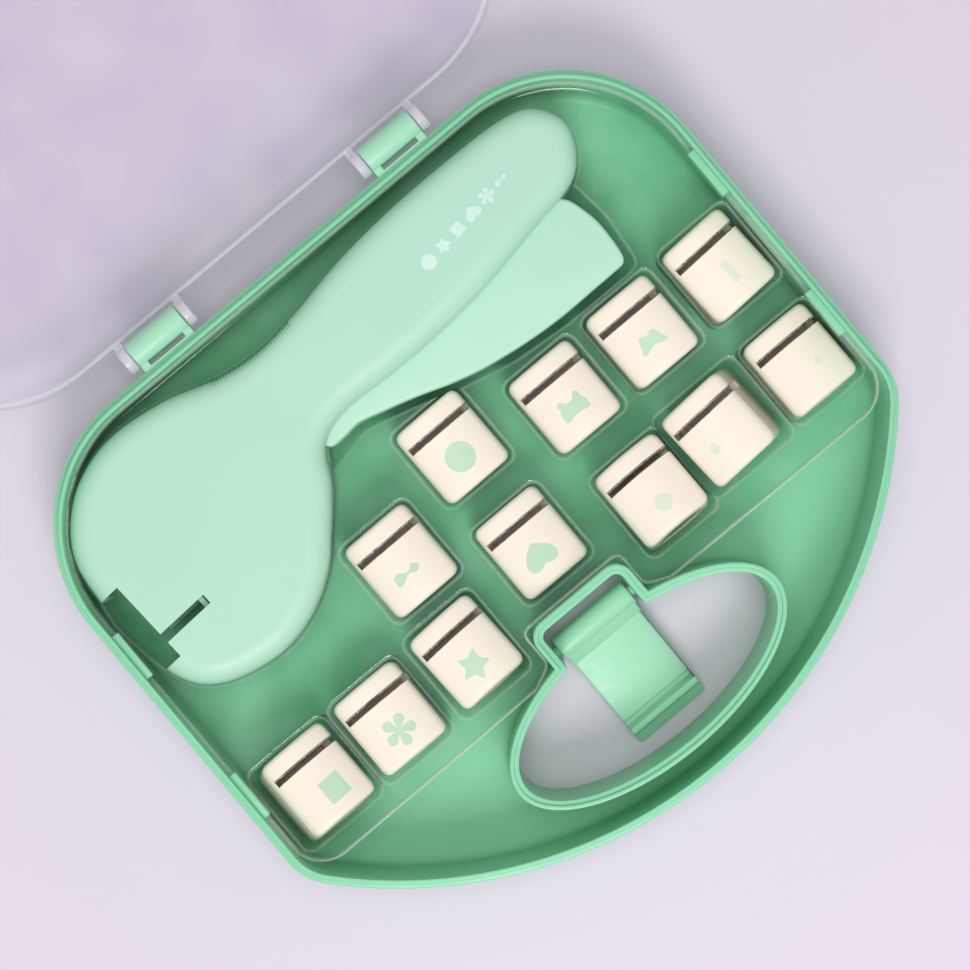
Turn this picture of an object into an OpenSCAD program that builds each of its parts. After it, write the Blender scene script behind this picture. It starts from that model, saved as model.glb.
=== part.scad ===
// Craft punch kit: a carry case with a clear lid, a clear insert tray, a squeeze punch
// and twelve drop-in punch heads. Units are mm. X runs along the hinge side, +Y points
// at the hinge, Z is up from the underside of the case.

/* [Case] */
// Width of the case across its rim
case_width = 205; // [180:1:260]
// Height of the case up to the top of its rim
case_height = 34.5; // [30:0.5:46]
// Distance from the middle of the case to the hinge side
hinge_side = 88.7; // [80:0.1:110]
// Distance from the middle of the case to the outside of the carry handle
handle_side = 89; // [84:0.1:110]
// Radius of the two corners beside the hinge
corner_radius = 42; // [30:1:60]
// Radius of the long curve along the carry handle
bow_radius = 132; // [120:1:180]
// Radius where each side turns into that curve
side_fillet = 16; // [8:1:30]
// Width of the stepped rim
rim_width = 2.6; // [2:0.1:4]
// Thickness of the case floor
floor_thickness = 2; // [1.2:0.1:3]

/* [Handle hole and latch] */
// Half width of the hand hole
hole_half_width = 41.7; // [32:0.5:50]
// Half depth of the hand hole
hole_half_depth = 18; // [14:0.1:22]
// Distance from the middle of the case to the middle of the hand hole
hole_offset = 59.5; // [55:0.1:62]
// Half width of the notch that the latch lies in
notch_half_width = 13.4; // [10:0.1:18]
// Distance from the middle of the case to the back of that notch
notch_back = 31; // [29:0.1:34]
// Width of the latch plate
latch_width = 24.6; // [18:0.1:25.6]
// Length of the latch from its pivot to its tip
latch_length = 34.7; // [30:0.1:40]
// Radius of the latch pivot pin
latch_pin = 1.5; // [1:0.05:2.2]

/* [Lid and hinge] */
// Height of the lid above the rim it sits on
lid_height = 9.4; // [7:0.1:16]
// Thickness of the lid
lid_wall = 1.1; // [0.8:0.1:1.1]
// Distance of each hinge barrel from the middle
barrel_place = 40; // [25:1:55]
// Length of a hinge barrel
barrel_length = 16.8; // [12:0.1:24]
// Radius of a hinge barrel
barrel_radius = 4; // [3.2:0.1:5]
// Radius of the lid pins
lid_pin = 1.4; // [1:0.05:2]

/* [Insert tray] */
// Thickness of the clear sheet
sheet = 0.5; // [0.4:0.05:1]
// Height of the tray's upper face above the case floor
tray_height = 20.4; // [18:0.1:24]
// Height of the tray's turned-up edge
tray_lip = 4.6; // [3:0.1:5]

/* [Punch tool] */
// Thickness of the tool across its two shells
tool_thickness = 30; // [28:0.5:32]
// Width of the rounding round the edge of each shell
tool_round = 9; // [5:0.5:10]
// Thickness of the shell walls
shell_wall = 2.2; // [1.8:0.1:3]
// Thickness of the squeeze lever
lever_thickness = 16; // [12:0.5:18]
// Thickness of the lever's arm past the pin
arm_thickness = 10; // [8:0.5:11]
// Radius of the lever pivot pin
pivot_radius = 2.5; // [2:0.1:3.5]
// Width of the nose notch that takes a head
nose_notch = 24.6; // [24.4:0.1:26]
// Width of the paper slit
paper_slit = 2.9; // [2.2:0.1:4]

/* [Punch heads] */
// Width of a head
head_width = 21.2; // [20:0.1:22.4]
// Height of a head
head_height = 24; // [22:0.1:24.2]
// Depth of a head up to the crown of its front
head_depth = 20.5; // [19:0.1:22]
// How far the front of a head bulges
head_bulge = 3.4; // [1:0.1:4]
// Height of the slot that the paper goes in
head_slot = 2.1; // [1.6:0.1:3]
// Radius of the bore that the plunger slides in
bore_radius = 7.6; // [6.5:0.1:8.2]
// Radius of the steel punch shank
shank_radius = 4.64; // [4.6:0.01:5.4]

/* [Hidden] */
$fn = 48;
e = 0.02;
run = 0.06;
rim_low = case_height - 4.5;
rim_top = case_height - 2.5;
hinge_y = hinge_side + 5.5;
hinge_z = rim_top - 2;
lid_low = rim_top + 0.05;
lid_top = lid_low + lid_height;
lid_reach = hinge_y + handle_side - 0.1;
lid_drop = asin((2 * hinge_z - lid_top) / lid_reach);
latch_y = -notch_back - 7.6;
latch_z = case_height - 25.9;
latch_barrel = 3.6;
plate_low = -2;
plate_top = 0.4;
latch_droop = asin((latch_z + plate_low - 0.4) / latch_length);
hook_at = case_height + 2.7 - latch_z;
catch_z = case_height + 0.9;
tray_z = floor_thickness + 0.1;
tray_face = tray_z + tray_height;
rest_z = tray_z + sheet + 0.1;
half = tool_thickness / 2;
tool_z = rest_z + half;
notch_spot = [-89.8, 37.9];
tool_turn = 3;
pivot_spot = [-33.4, 56.6];
slit_shift = -(head_height / 2 - 5 - head_slot / 2);
lever_half = lever_thickness / 2;
arm_half = arm_thickness / 2;
seat_mid = head_depth / 2 - 0.25;
slot_low = head_height / 2 - 5 - head_slot;
slot_high = head_height / 2 - 5;
axis_depth = 10.2;
// [shape, x, y, roll, pitch, yaw] of the twelve heads in the tray
HEADS = [
    ["square", -84.9, -23.5, 14, -5, 0], ["flower", -58.6, -23.3, 0, -4, 0],
    ["star", -31.6, -22.9, 2, -5, 2], ["bow", -29.2, 7.4, 0, 0, 0.5],
    ["heart", 0.6, -11.4, 0, -2, 0], ["circle", 0.9, 22, 0, 0, 0.5],
    ["bear", 32.5, 12.9, 0, 0, 0], ["butterfly", 59.6, 12.9, 0, 0, 0],
    ["bar", 86.7, 13.3, 0, 0, 2.5], ["disc", 34.2, -21.9, 0, -8, 0],
    ["dot", 59.6, -20.4, -15, -3, 3.5], ["pinhole", 87, -20.4, 0, -4, 0]];

function arc(c, r, a0, a1, n) = [for (i = [0:n]) let (a = a0 + (a1 - a0) * i / n) [c[0] + r * cos(a), c[1] + r * sin(a)]];
function inner(list) = [for (i = [1:len(list) - 2]) list[i]];

// Rim line of the case, drawn d inside its outer edge
function case_line(d) =
    let (hw = case_width / 2, by = bow_radius - handle_side, fx = hw - side_fillet,
         fy = by - sqrt(pow(bow_radius - side_fillet, 2) - fx * fx), af = atan2(by - fy, fx),
         cx = hw - corner_radius, cy = hinge_side - corner_radius)
    concat(arc([fx, fy], side_fillet - d, -af, 0, 5), arc([cx, cy], corner_radius - d, 0, 90, 12),
        arc([-cx, cy], corner_radius - d, 90, 180, 12), arc([-fx, fy], side_fillet - d, 180, 180 + af, 5),
        inner(arc([0, by], bow_radius - d, 180 + af, 360 - af, 18)));

// Closed smooth curve through a ring of points, s steps between neighbours
function smooth(p, s) = [for (i = [0:len(p) - 1], t = [0:s - 1])
    let (n = len(p), a = p[(i + n - 1) % n], b = p[i], c = p[(i + 1) % n], d = p[(i + 2) % n], u = t / s)
    0.5 * (2 * b + (c - a) * u + (2 * a - 5 * b + 4 * c - d) * u * u + (3 * b - a - 3 * c + d) * u * u * u)];

// The ring moved d inward along its own normals
function inset(p, d) = [for (i = [0:len(p) - 1])
    let (n = len(p), t = p[(i + 1) % n] - p[(i + n - 1) % n], l = norm(t)) p[i] + d * [t[1], -t[0]] / l];

// Side view of the tool: nose, upper edge, handle end, lower edge
TOOL = [[-97.3, 39], [-96.9, 49.3], [-95.5, 61.2], [-90.5, 70.3], [-81.1, 78], [-67.5, 81.9], [-50.4, 80.4],
    [-35.3, 75.9], [-22.2, 74.4], [-8.1, 75.9], [8.1, 78.9], [26.1, 80.6], [46.3, 81], [65.4, 80.2],
    [75, 76.7], [79.2, 67.1], [71.5, 55.9], [54.4, 52.4], [36.2, 49], [18.1, 47.3], [2, 47.1], [-14.1, 47.5],
    [-24.1, 44.1], [-30.2, 34.5], [-38.3, 25.1], [-46.3, 17.3], [-57.4, 11.2], [-70.4, 9.2], [-85.6, 13],
    [-93.6, 21.6]];
// Side view of the lever, in the same place
LEVER = [[67.4, 30.3], [68.7, 33.5], [69.1, 42.3], [68.2, 48.3], [66.8, 54.1], [64.8, 57.5], [39.3, 56.7],
    [9.8, 54.7], [-11.8, 54.5], [-21.6, 59], [-31.4, 64], [-49.1, 65.4], [-70.6, 64.4], [-75.6, 62.5],
    [-75.6, 58.7], [-54.9, 56.1], [-43.2, 52.2], [-35.3, 49.8], [-27.5, 47.3], [-25.1, 43.3], [-24.8, 40.2],
    [-22, 42], [-18, 43.2], [-13.9, 42.8], [-7.8, 41.2], [0, 39], [6, 37], [12.1, 34.9], [20.1, 32.7],
    [28.2, 31.3], [36.3, 30.3], [46.3, 29.7], [56.4, 29.8], [64.4, 29.9]];

module at_pivot_x(x, y, z) translate([x, y, z]) rotate([0, 90, 0]) children();

// ---------------------------------------------------------------- case and lid

// Hand hole with the latch notch, drawn d outside its edge
module hole_shape(d) {
    polygon([for (i = [0:47]) let (a = 7.5 * i) [(hole_half_width + d) * cos(a), -hole_offset + (hole_half_depth + d) * sin(a)]]);
    polygon(concat(arc([notch_half_width - 2.4, -notch_back - 2.4], 2.4 + d, 0, 90, 5),
        arc([-notch_half_width + 2.4, -notch_back - 2.4], 2.4 + d, 90, 180, 5),
        [[-notch_half_width - d, -hole_offset], [notch_half_width + d, -hole_offset]]));
}

module case_base() color("MediumAquamarine") difference() {
    union() {
        difference() {
            union() {
                linear_extrude(1.2) polygon(case_line(2));
                translate([0, 0, 1.2 - e]) linear_extrude(rim_top - 1.2) polygon(case_line(0.9));
                translate([0, 0, rim_low]) linear_extrude(rim_top - rim_low) polygon(case_line(0));
                translate([0, 0, rim_low]) linear_extrude(case_height - rim_low) polygon(case_line(1.5));
            }
            translate([0, 0, floor_thickness]) linear_extrude(case_height) polygon(case_line(rim_width));
        }
        linear_extrude(case_height) hole_shape(rim_width);
        for (s = [-1, 1], y = [26.5, -21.5])
            translate([s * (case_width / 2 - rim_width - 0.8) - 1.15, y, rim_top - 4]) cube([2.3, 14.6, 4]);
        for (s = [-1, 1]) hinge_lug(s * barrel_place);
    }
    translate([0, 0, -1]) linear_extrude(case_height + 2) hole_shape(0);
    at_pivot_x(-notch_half_width - rim_width - 1, latch_y, latch_z)
        cylinder(h = 2 * (notch_half_width + rim_width + 1), r = latch_pin + run);
    for (s = [-1, 1]) {
        at_pivot_x(s * barrel_place - barrel_length / 2 - 1, hinge_y, hinge_z) cylinder(h = barrel_length + 2, r = lid_pin + run);
        translate([s * barrel_place - 6, hinge_side + 0.5, hinge_z - barrel_radius - 1]) cube([12, 1.6, 12]);
    }
}

module hinge_lug(x) {
    at_pivot_x(x - barrel_length / 2, hinge_y, hinge_z) cylinder(h = barrel_length, r = barrel_radius);
    translate([x - barrel_length / 2, hinge_side - 1.5, hinge_z - barrel_radius]) cube([barrel_length, 7, barrel_radius + 1.8]);
}

// The lid as it sits when shut
module shut_lid() {
    difference() {
        union() {
            difference() {
                translate([0, 0, lid_low]) linear_extrude(lid_height) polygon(case_line(0.1));
                translate([0, 0, lid_low - 1]) linear_extrude(lid_height + 1 - 1.2) polygon(case_line(0.1 + lid_wall));
            }
            translate([0, 0, case_height + 0.1]) linear_extrude(lid_top - case_height - 0.1) hole_shape(1.4);
            translate([-9, -notch_back - 3.4, catch_z]) cube([18, 4, 1.6]);
        }
        difference() {
            translate([0, 0, case_height - 1]) linear_extrude(lid_height + 2) hole_shape(0.2);
            translate([-9, -notch_back - 3.4, catch_z]) cube([18, 4, 1.6]);
        }
    }
    for (s = [-1, 1], t = [-1, 1]) lid_ear(s * barrel_place, t);
}

module lid_ear(x, side) {
    x0 = side > 0 ? x + barrel_length / 2 + 0.3 : x - barrel_length / 2 - 2.9;
    at_pivot_x(x0, hinge_y, hinge_z) cylinder(h = 2.6, r = barrel_radius - 0.2);
    translate([x0, hinge_side - 1, lid_low]) cube([2.6, 9.3, 3.6]);
    at_pivot_x(side > 0 ? x0 - 3.3 : x0 + 2.5, hinge_y, hinge_z) cylinder(h = 3.4, r = lid_pin);
}

// Open, the lid hangs back with its far edge on the table
module lid() color("White", 0.4) translate([0, hinge_y, hinge_z]) rotate([-180 - lid_drop, 0, 0]) translate([0, -hinge_y, -hinge_z]) shut_lid();

// The latch stands at 0 when shut, so at rest it is turned down to the table
module latch() color("MediumAquamarine") translate([0, latch_y, latch_z]) rotate([latch_droop, 0, 0]) {
    at_pivot_x(-latch_width / 2, 0, 0) cylinder(h = latch_width, r = latch_barrel);
    at_pivot_x(-notch_half_width - 2.2, 0, 0) cylinder(h = 2 * notch_half_width + 4.4, r = latch_pin);
    translate([-latch_width / 2, 0, 0]) rotate([90, 0, 90]) linear_extrude(latch_width)
        polygon([[1, plate_low], [1, plate_top], [-hook_at + 1.2, plate_top], [-hook_at + 1.2, plate_top - 0.9],
            [-hook_at, plate_top - 0.9], [-hook_at, 5.2], [-hook_at - 2, 5.2], [-latch_length, plate_top], [-latch_length, plate_low]]);
}

// ---------------------------------------------------------------- insert tray

function tray_half() = case_width / 2 - rim_width - 0.15;
// Outline of the tray, d inside its edge
function tray_line(d) =
    let (x = tray_half() - d, low = -42 + d, nx = notch_half_width + rim_width + 0.7 + d, ny = -notch_back + rim_width + 0.7 + d,
         c = corner_radius - rim_width - 0.15 - d, cy = hinge_side - corner_radius)
    concat(arc([x - 10, low + 10], 10, -90, 0, 4), arc([case_width / 2 - corner_radius, cy], c, 0, 90, 12),
        arc([corner_radius - case_width / 2, cy], c, 90, 180, 12), arc([10 - x, low + 10], 10, 180, 270, 4),
        [[-nx - 8, low], [-nx - 4, low + 1.6], [-nx, low + 3.4], [-nx, ny - 2], [-nx + 2, ny], [nx - 2, ny], [nx, ny - 2], [nx, low + 3.4], [nx + 4, low + 1.6], [nx + 8, low]]);

// Pocket outlines, d outside the room they give
module head_pockets(d) for (h = HEADS) let (
    w = max(head_width + 2.2, head_width * cos(h[3]) + head_depth * abs(sin(h[3])) + head_height * abs(sin(h[5])) + 0.7),
    t = max(head_height + 1.6, head_height * cos(h[4]) + head_depth * abs(sin(h[4])) + head_width * abs(sin(h[5])) + 0.8))
    translate([h[1], h[2]]) square([w + 2 * d, t + 2 * d], center = true);

module tool_pocket(d) {
    polygon(inset(smooth(TOOL, 2), -0.5 - d));
    polygon([[-29.4 - d, 37.4 - d], [-21.6 - d, 39.2 - d], [-14, 40.6 - d], [0, 36.8 - d], [12, 32.8 - d], [28, 29 - d], [46, 27.4 - d],
        [70.2 + d, 27.4 - d], [71.8 + d, 43.4], [69.8 + d, 59], [0, 59], [-29.4, 49.4]]);
}

// Area of the tray, kept off the case's wall
module tray_area(d) intersection() {
    polygon(tray_line(d));
    polygon(case_line(rim_width + run + d));
}

module insert_tray() color("White", 0.3) difference() {
    union() {
        difference() {
            translate([0, 0, tray_face - sheet]) linear_extrude(sheet + tray_lip) tray_area(0);
            translate([0, 0, tray_face]) linear_extrude(tray_lip + 1) tray_area(sheet);
        }
        translate([0, 0, tray_z]) linear_extrude(tray_height) head_pockets(sheet);
        translate([0, 0, tray_z]) linear_extrude(tray_height) intersection() {
            tool_pocket(sheet);
            tray_area(0);
        }
    }
    translate([0, 0, tray_z + sheet]) linear_extrude(case_height) head_pockets(0);
    translate([0, 0, tray_z + sheet]) linear_extrude(case_height) intersection() {
        tool_pocket(0);
        tray_area(sheet);
    }
}

// ---------------------------------------------------------------- punch tool

// Closed skin through rings of the tool outline: levels are [inset, height], from the first cap to the last
module ring_skin(levels) {
    p = smooth(TOOL, 2);
    n = len(p);
    m = len(levels);
    points = [for (l = levels) for (q = inset(p, l[0])) [q[0], q[1], l[1]]];
    walls = [for (k = [0:m - 2], i = [0:n - 1]) let (j = (i + 1) % n, a = k * n) for (f = [[a + i, a + n + j, a + j], [a + i, a + n + i, a + n + j]]) f];
    cap = [for (i = [0:n / 2 - 1]) let (a = i, b = i + 1, c = n - i - 1, d = (n - i) % n) for (f = [[a, b, c], [a, c, d]]) if (f[0] != f[1] && f[1] != f[2] && f[0] != f[2]) f];
    last = [for (f = cap) [(m - 1) * n + f[0], (m - 1) * n + f[2], (m - 1) * n + f[1]]];
    polyhedron(points, concat(walls, cap, last));
}

// Rounded edge of a shell, c inside the outer face, from the parting plane up
function round_levels(c, steps) = concat([[c, 0]], [for (k = [0:steps])
    [c + (tool_round - c * 0.5) * 0.9 * (1 - cos(90 * k / steps)) + 0.2, half - tool_round + (tool_round - c) * sin(90 * k / steps)]]);
function reverse(list) = [for (i = [len(list) - 1:-1:0]) list[i]];

// One hollow half shell, z up from the parting plane
module half_shell() ring_skin(concat(reverse(round_levels(0, 4)), round_levels(shell_wall, 3)));
// The room inside its outer face, c inside it
module shell_room(c) ring_skin(reverse(round_levels(c, 3)));

module at_nose() translate([notch_spot[0], notch_spot[1], 0]) rotate([0, 0, tool_turn]) children();

BOSSES = [[-57, 71.6], [-49, 23.8], [-13, 67.5], [61, 71.6]];

// What both shells share: the skin, the head socket, the pivot boss and the screw bosses
module shell_body() difference() {
    union() {
        half_shell();
        intersection() {
            union() {
                at_nose() {
                    translate([-6, -nose_notch / 2 - 1.6, 0.2]) cube([20.6, 1.6, half]);
                    translate([13, -nose_notch / 2 - 1.6, 0.2]) cube([1.6, 17, half]);
                }
                translate([pivot_spot[0], pivot_spot[1], arm_half + 0.6]) cylinder(h = half, r = pivot_radius + 2);
                for (b = BOSSES) translate([b[0], b[1], 0.1]) cylinder(h = half, r = 3.4);
            }
            shell_room(1.1);
        }
    }
    at_nose() {
        translate([-20, -nose_notch / 2, -1]) cube([20, nose_notch, half + 2]);
        translate([-1, slit_shift - paper_slit / 2, -1]) cube([16.3, paper_slit, half + 2]);
    }
    translate([0, 0, -1]) linear_extrude(lever_half + 1.6)
        polygon([[-27.4, 24], [-27.4, 48], [-22.6, 56], [66.8, 58.8], [71.6, 57], [72.6, 47], [72.6, 20]]);
    translate([pivot_spot[0], pivot_spot[1], -1]) cylinder(h = half - 1.5, r = pivot_radius + 0.02);
}

module tool_shell_top() color("Aquamarine") translate([0, 0, tool_z + 0.05]) difference() {
    shell_body();
    for (b = BOSSES) translate([b[0], b[1], -1]) cylinder(h = half - 3, r = 1.25);
}

module tool_shell_bottom() color("Aquamarine") translate([0, 0, tool_z - 0.05]) mirror([0, 0, 1]) difference() {
    shell_body();
    for (b = BOSSES) translate([b[0], b[1], 0]) {
        translate([0, 0, -1]) cylinder(h = half + 2, r = 1.5);
        translate([0, 0, 6]) cylinder(h = half, r = 2.6);
    }
}

module shell_screws() color("Silver") for (b = BOSSES) translate([b[0], b[1], tool_z]) {
    translate([0, 0, -8.1]) cylinder(h = 16, r = 1.2);
    difference() {
        translate([0, 0, -8.1]) cylinder(h = 2, r = 2.4);
        translate([-2, -0.35, -8.2]) cube([4, 0.7, 0.9]);
        translate([-0.35, -2, -8.2]) cube([0.7, 4, 0.9]);
    }
}

module lever() color("Aquamarine") difference() {
    translate([0, 0, tool_z - lever_half]) linear_extrude(lever_thickness) difference() {
        polygon(LEVER);
        translate(pivot_spot) circle(r = pivot_radius + run);
    }
    for (s = [-1, 1]) translate([0, 0, tool_z + (s > 0 ? arm_half : -lever_half - 1)]) linear_extrude(lever_half - arm_half + 1)
        polygon([[-100, 46], [-25.4, 49.4], [-25.4, 90], [-100, 90]]);
    translate([2, 50, tool_z]) rotate([-90, 0, 0]) cylinder(h = 10, r = 4.6);
}

module striker() color("Silver") at_nose() translate([6.2, 0, tool_z]) {
    translate([0, 14.4, 0]) rotate([-90, 0, 0]) cylinder(h = 3.4, r = 6.4);
    difference() {
        translate([-5, 17.6, -arm_half - 1.6]) cube([14, 7.6, arm_thickness + 3.2]);
        translate([-6, 17.8, -arm_half - 0.1]) cube([16, 8, arm_thickness + 0.2]);
    }
}

module lever_pin() color("Silver") translate([pivot_spot[0], pivot_spot[1], tool_z - half + 2.7]) cylinder(h = tool_thickness - 5.4, r = pivot_radius);

// Coil spring of t turns, height h, coil radius r, wire radius w, standing on z = 0
module coil(h, r, w, t) {
    s = 10;
    k = 5;
    n = s * t;
    points = [for (i = [0:n], j = [0:k - 1]) let (a = 360 * i / s, b = 360 * j / k, q = r + w * cos(b)) [q * cos(a), q * sin(a), w + (h - 2 * w) * i / n + w * sin(b)]];
    skin = [for (i = [0:n - 1], j = [0:k - 1]) let (a = i * k + j, b = i * k + (j + 1) % k) for (f = [[a, b + k, b], [a, a + k, b + k]]) f];
    ends = [for (j = [1:k - 2]) for (f = [[0, j, j + 1], [n * k, n * k + j + 1, n * k + j]]) f];
    polyhedron(points, concat(skin, ends));
}

module lever_spring() color("Silver") translate([2, 50.1, tool_z]) rotate([-90, 0, 0]) coil(24.6, 3.8, 0.5, 7);

// ---------------------------------------------------------------- punch heads

// Outline of each punched shape, grown by g
function shape(kind, g) =
    kind == "square" ? [for (a = [45:90:315]) (3.2 + g) * 1.414 * [cos(a), sin(a)]] :
    kind == "flower" ? [for (a = [0:9:351]) (3.45 + g + 0.95 * cos(5 * (a - 90))) * [cos(a), sin(a)]] :
    kind == "star" ? [for (a = [0:36:324]) ((a / 36) % 2 == 0 ? 4.3 + g : 2.3 + g) * [cos(a + 90), sin(a + 90)]] :
    kind == "bow" ? [for (q = [[4.1, 1.7], [1, 0.6], [-1, 0.6], [-4.1, 1.7], [-4.1, -1.7], [-1, -0.6], [1, -0.6], [4.1, -1.7]]) q + g * [sign(q[0]), sign(q[1])]] :
    kind == "heart" ? [for (a = [0:12:348]) let (r = 0.232 + g / 16) r * [16 * pow(sin(a), 3), 13 * cos(a) - 5 * cos(2 * a) - 2 * cos(3 * a) - cos(4 * a)]] :
    kind == "bear" ? [for (a = [0:9:351]) (3.3 + g + 1.1 * exp(-pow((a - 45) / 14, 2)) + 1.1 * exp(-pow((a - 135) / 14, 2))) * [cos(a), 0.92 * sin(a)]] :
    kind == "butterfly" ? [for (a = [0:9:351]) (2.7 + g - 1.5 * cos(4 * a + 180) * 0.85) * [cos(a), 0.8 * sin(a)]] :
    kind == "bar" ? [for (q = [[1.2, 3.2], [-1.2, 3.2], [-1.2, -3.2], [1.2, -3.2]]) q + g * [sign(q[0]), sign(q[1])]] :
    [];
function dot_radius(kind) = kind == "circle" ? 4.15 : kind == "disc" ? 2.5 : kind == "dot" ? 1.4 : 1;

module shape_face(kind, g) if (len(shape(kind, g)) > 0) polygon(shape(kind, g)); else circle(r = dot_radius(kind) + g);

// Solid of a shape from y = a to y = b on a head's punching axis
module shape_bar(kind, g, a, b) translate([0, b, axis_depth]) rotate([90, 0, 0]) linear_extrude(b - a) shape_face(kind, g);
module axis_rod(r, a, b) translate([0, a, axis_depth]) rotate([-90, 0, 0]) cylinder(h = b - a, r = r);

// Stands a head in its pocket: roll about Y, pitch about X, yaw about Z, on its lowest corner
module seat(h) translate([h[1], h[2], rest_z + seat_mid * cos(h[3]) * cos(h[4]) + head_width / 2 * abs(sin(h[3])) + head_height / 2 * abs(sin(h[4]))])
    rotate([0, 0, h[5]]) rotate([0, h[3], 0]) rotate([h[4], 0, 0]) translate([0, 0, -seat_mid]) children();

module head_housing(i) color("AntiqueWhite") seat(HEADS[i]) let (w = head_width / 2, t = head_height / 2, r = 1.8) difference() {
    intersection() {
        linear_extrude(head_depth) polygon(concat(arc([w - r, t - r], r, 0, 90, 4), arc([r - w, t - r], r, 90, 180, 4),
            arc([r - w, r - t], r, 180, 270, 4), arc([w - r, r - t], r, 270, 360, 4)));
        let (big = (w * w + head_bulge * head_bulge) / (2 * head_bulge)) translate([0, -t - 1, head_depth - big])
            rotate([-90, 0, 0]) cylinder(h = head_height + 2, r = big);
    }
    translate([-w + 1, slot_low, 6]) cube([head_width + 1, head_slot, head_depth]);
    translate([-8.4, slot_low - 1, 3.4]) cube([16.8, head_slot + 2.2, 13.6]);
    axis_rod(bore_radius, -t - 1, -1.5);
    axis_rod(shank_radius + run, -2, slot_low);
    axis_rod(shank_radius + 0.3, slot_high, t + 1);
}

// Die plate under the paper and stripper plate over it
module head_dies(i) color("Silver") seat(HEADS[i]) difference() {
    union() {
        translate([-8.4, slot_low - 1, 3.4]) cube([16.8, 1, 13.6]);
        translate([-8.4, slot_high, 3.4]) cube([16.8, 1.2, 13.6]);
    }
    shape_bar(HEADS[i][0], run, slot_low - 2, slot_high + 2);
}

// Steel punch: a wide head for the striker, a round shank and the shaped end
module head_punch(i) color("Gray") seat(HEADS[i]) {
    axis_rod(bore_radius - run, -head_height / 2 + 0.4, -head_height / 2 + 2.4);
    axis_rod(shank_radius, -head_height / 2 + 2, slot_low - 5.1);
    shape_bar(HEADS[i][0], 0, slot_low - 5.5, slot_low - 0.5);
}

module head_spring(i) color("LightGray") seat(HEADS[i]) let (low = -head_height / 2 + 2.4)
    translate([0, low + 0.05, axis_depth]) rotate([-90, 0, 0]) coil(-1.5 - low - 0.1, 5.9, 0.55, 4);

case_base();
lid();
latch();
insert_tray();
tool_shell_top();
tool_shell_bottom();
shell_screws();
lever();
striker();
lever_pin();
lever_spring();
head_housing(0);  // square_head_housing
head_dies(0);  // square_head_dies
head_punch(0);  // square_head_punch
head_spring(0);  // square_head_spring
head_housing(1);  // flower_head_housing
head_dies(1);  // flower_head_dies
head_punch(1);  // flower_head_punch
head_spring(1);  // flower_head_spring
head_housing(2);  // star_head_housing
head_dies(2);  // star_head_dies
head_punch(2);  // star_head_punch
head_spring(2);  // star_head_spring
head_housing(3);  // bow_head_housing
head_dies(3);  // bow_head_dies
head_punch(3);  // bow_head_punch
head_spring(3);  // bow_head_spring
head_housing(4);  // heart_head_housing
head_dies(4);  // heart_head_dies
head_punch(4);  // heart_head_punch
head_spring(4);  // heart_head_spring
head_housing(5);  // circle_head_housing
head_dies(5);  // circle_head_dies
head_punch(5);  // circle_head_punch
head_spring(5);  // circle_head_spring
head_housing(6);  // bear_head_housing
head_dies(6);  // bear_head_dies
head_punch(6);  // bear_head_punch
head_spring(6);  // bear_head_spring
head_housing(7);  // butterfly_head_housing
head_dies(7);  // butterfly_head_dies
head_punch(7);  // butterfly_head_punch
head_spring(7);  // butterfly_head_spring
head_housing(8);  // bar_head_housing
head_dies(8);  // bar_head_dies
head_punch(8);  // bar_head_punch
head_spring(8);  // bar_head_spring
head_housing(9);  // disc_head_housing
head_dies(9);  // disc_head_dies
head_punch(9);  // disc_head_punch
head_spring(9);  // disc_head_spring
head_housing(10);  // dot_head_housing
head_dies(10);  // dot_head_dies
head_punch(10);  // dot_head_punch
head_spring(10);  // dot_head_spring
head_housing(11);  // pinhole_head_housing
head_dies(11);  // pinhole_head_dies
head_punch(11);  // pinhole_head_punch
head_spring(11);  // pinhole_head_spring
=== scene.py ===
# %% [markdown]
# # A craft punch kit in its carry case
# This lesson dresses a finished CAD model of a scrapbooking punch kit. The CAD model gives
# every size, place and joint. Here each part gets a surface of its own that is smoother
# than the CAD one, and a finish. A shape is worked out with numpy first, as whole arrays of
# points, and only then handed to Blender, so one formula draws a whole part.

# %% Load the frame
import math

import bpy
import numpy as np
from mathutils import Matrix, Vector
from mathutils.geometry import delaunay_2d_cdt


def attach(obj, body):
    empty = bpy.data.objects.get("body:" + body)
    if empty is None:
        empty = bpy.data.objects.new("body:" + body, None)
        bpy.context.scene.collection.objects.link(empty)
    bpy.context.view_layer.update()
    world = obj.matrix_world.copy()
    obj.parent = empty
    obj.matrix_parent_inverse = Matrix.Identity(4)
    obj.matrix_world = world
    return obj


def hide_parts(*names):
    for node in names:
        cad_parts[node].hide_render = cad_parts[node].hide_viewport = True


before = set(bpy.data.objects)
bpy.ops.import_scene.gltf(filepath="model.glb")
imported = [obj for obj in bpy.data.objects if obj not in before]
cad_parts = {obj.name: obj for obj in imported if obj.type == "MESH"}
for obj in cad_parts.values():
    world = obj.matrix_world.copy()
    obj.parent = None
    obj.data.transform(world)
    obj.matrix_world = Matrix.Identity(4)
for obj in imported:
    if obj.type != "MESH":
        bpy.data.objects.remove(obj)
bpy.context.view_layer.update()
MM = 0.001


def placed(name, data):
    """A new object in the scene."""
    thing = bpy.data.objects.new(name, data)
    bpy.context.collection.objects.link(thing)
    return thing


# %% [markdown]
# ## Camera first
# A long lens far away keeps the case walls nearly upright, as a product shot does. The
# other way would be an orthographic camera, but that loses the slight spread of the walls
# that tells the eye how deep the case is.

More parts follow.
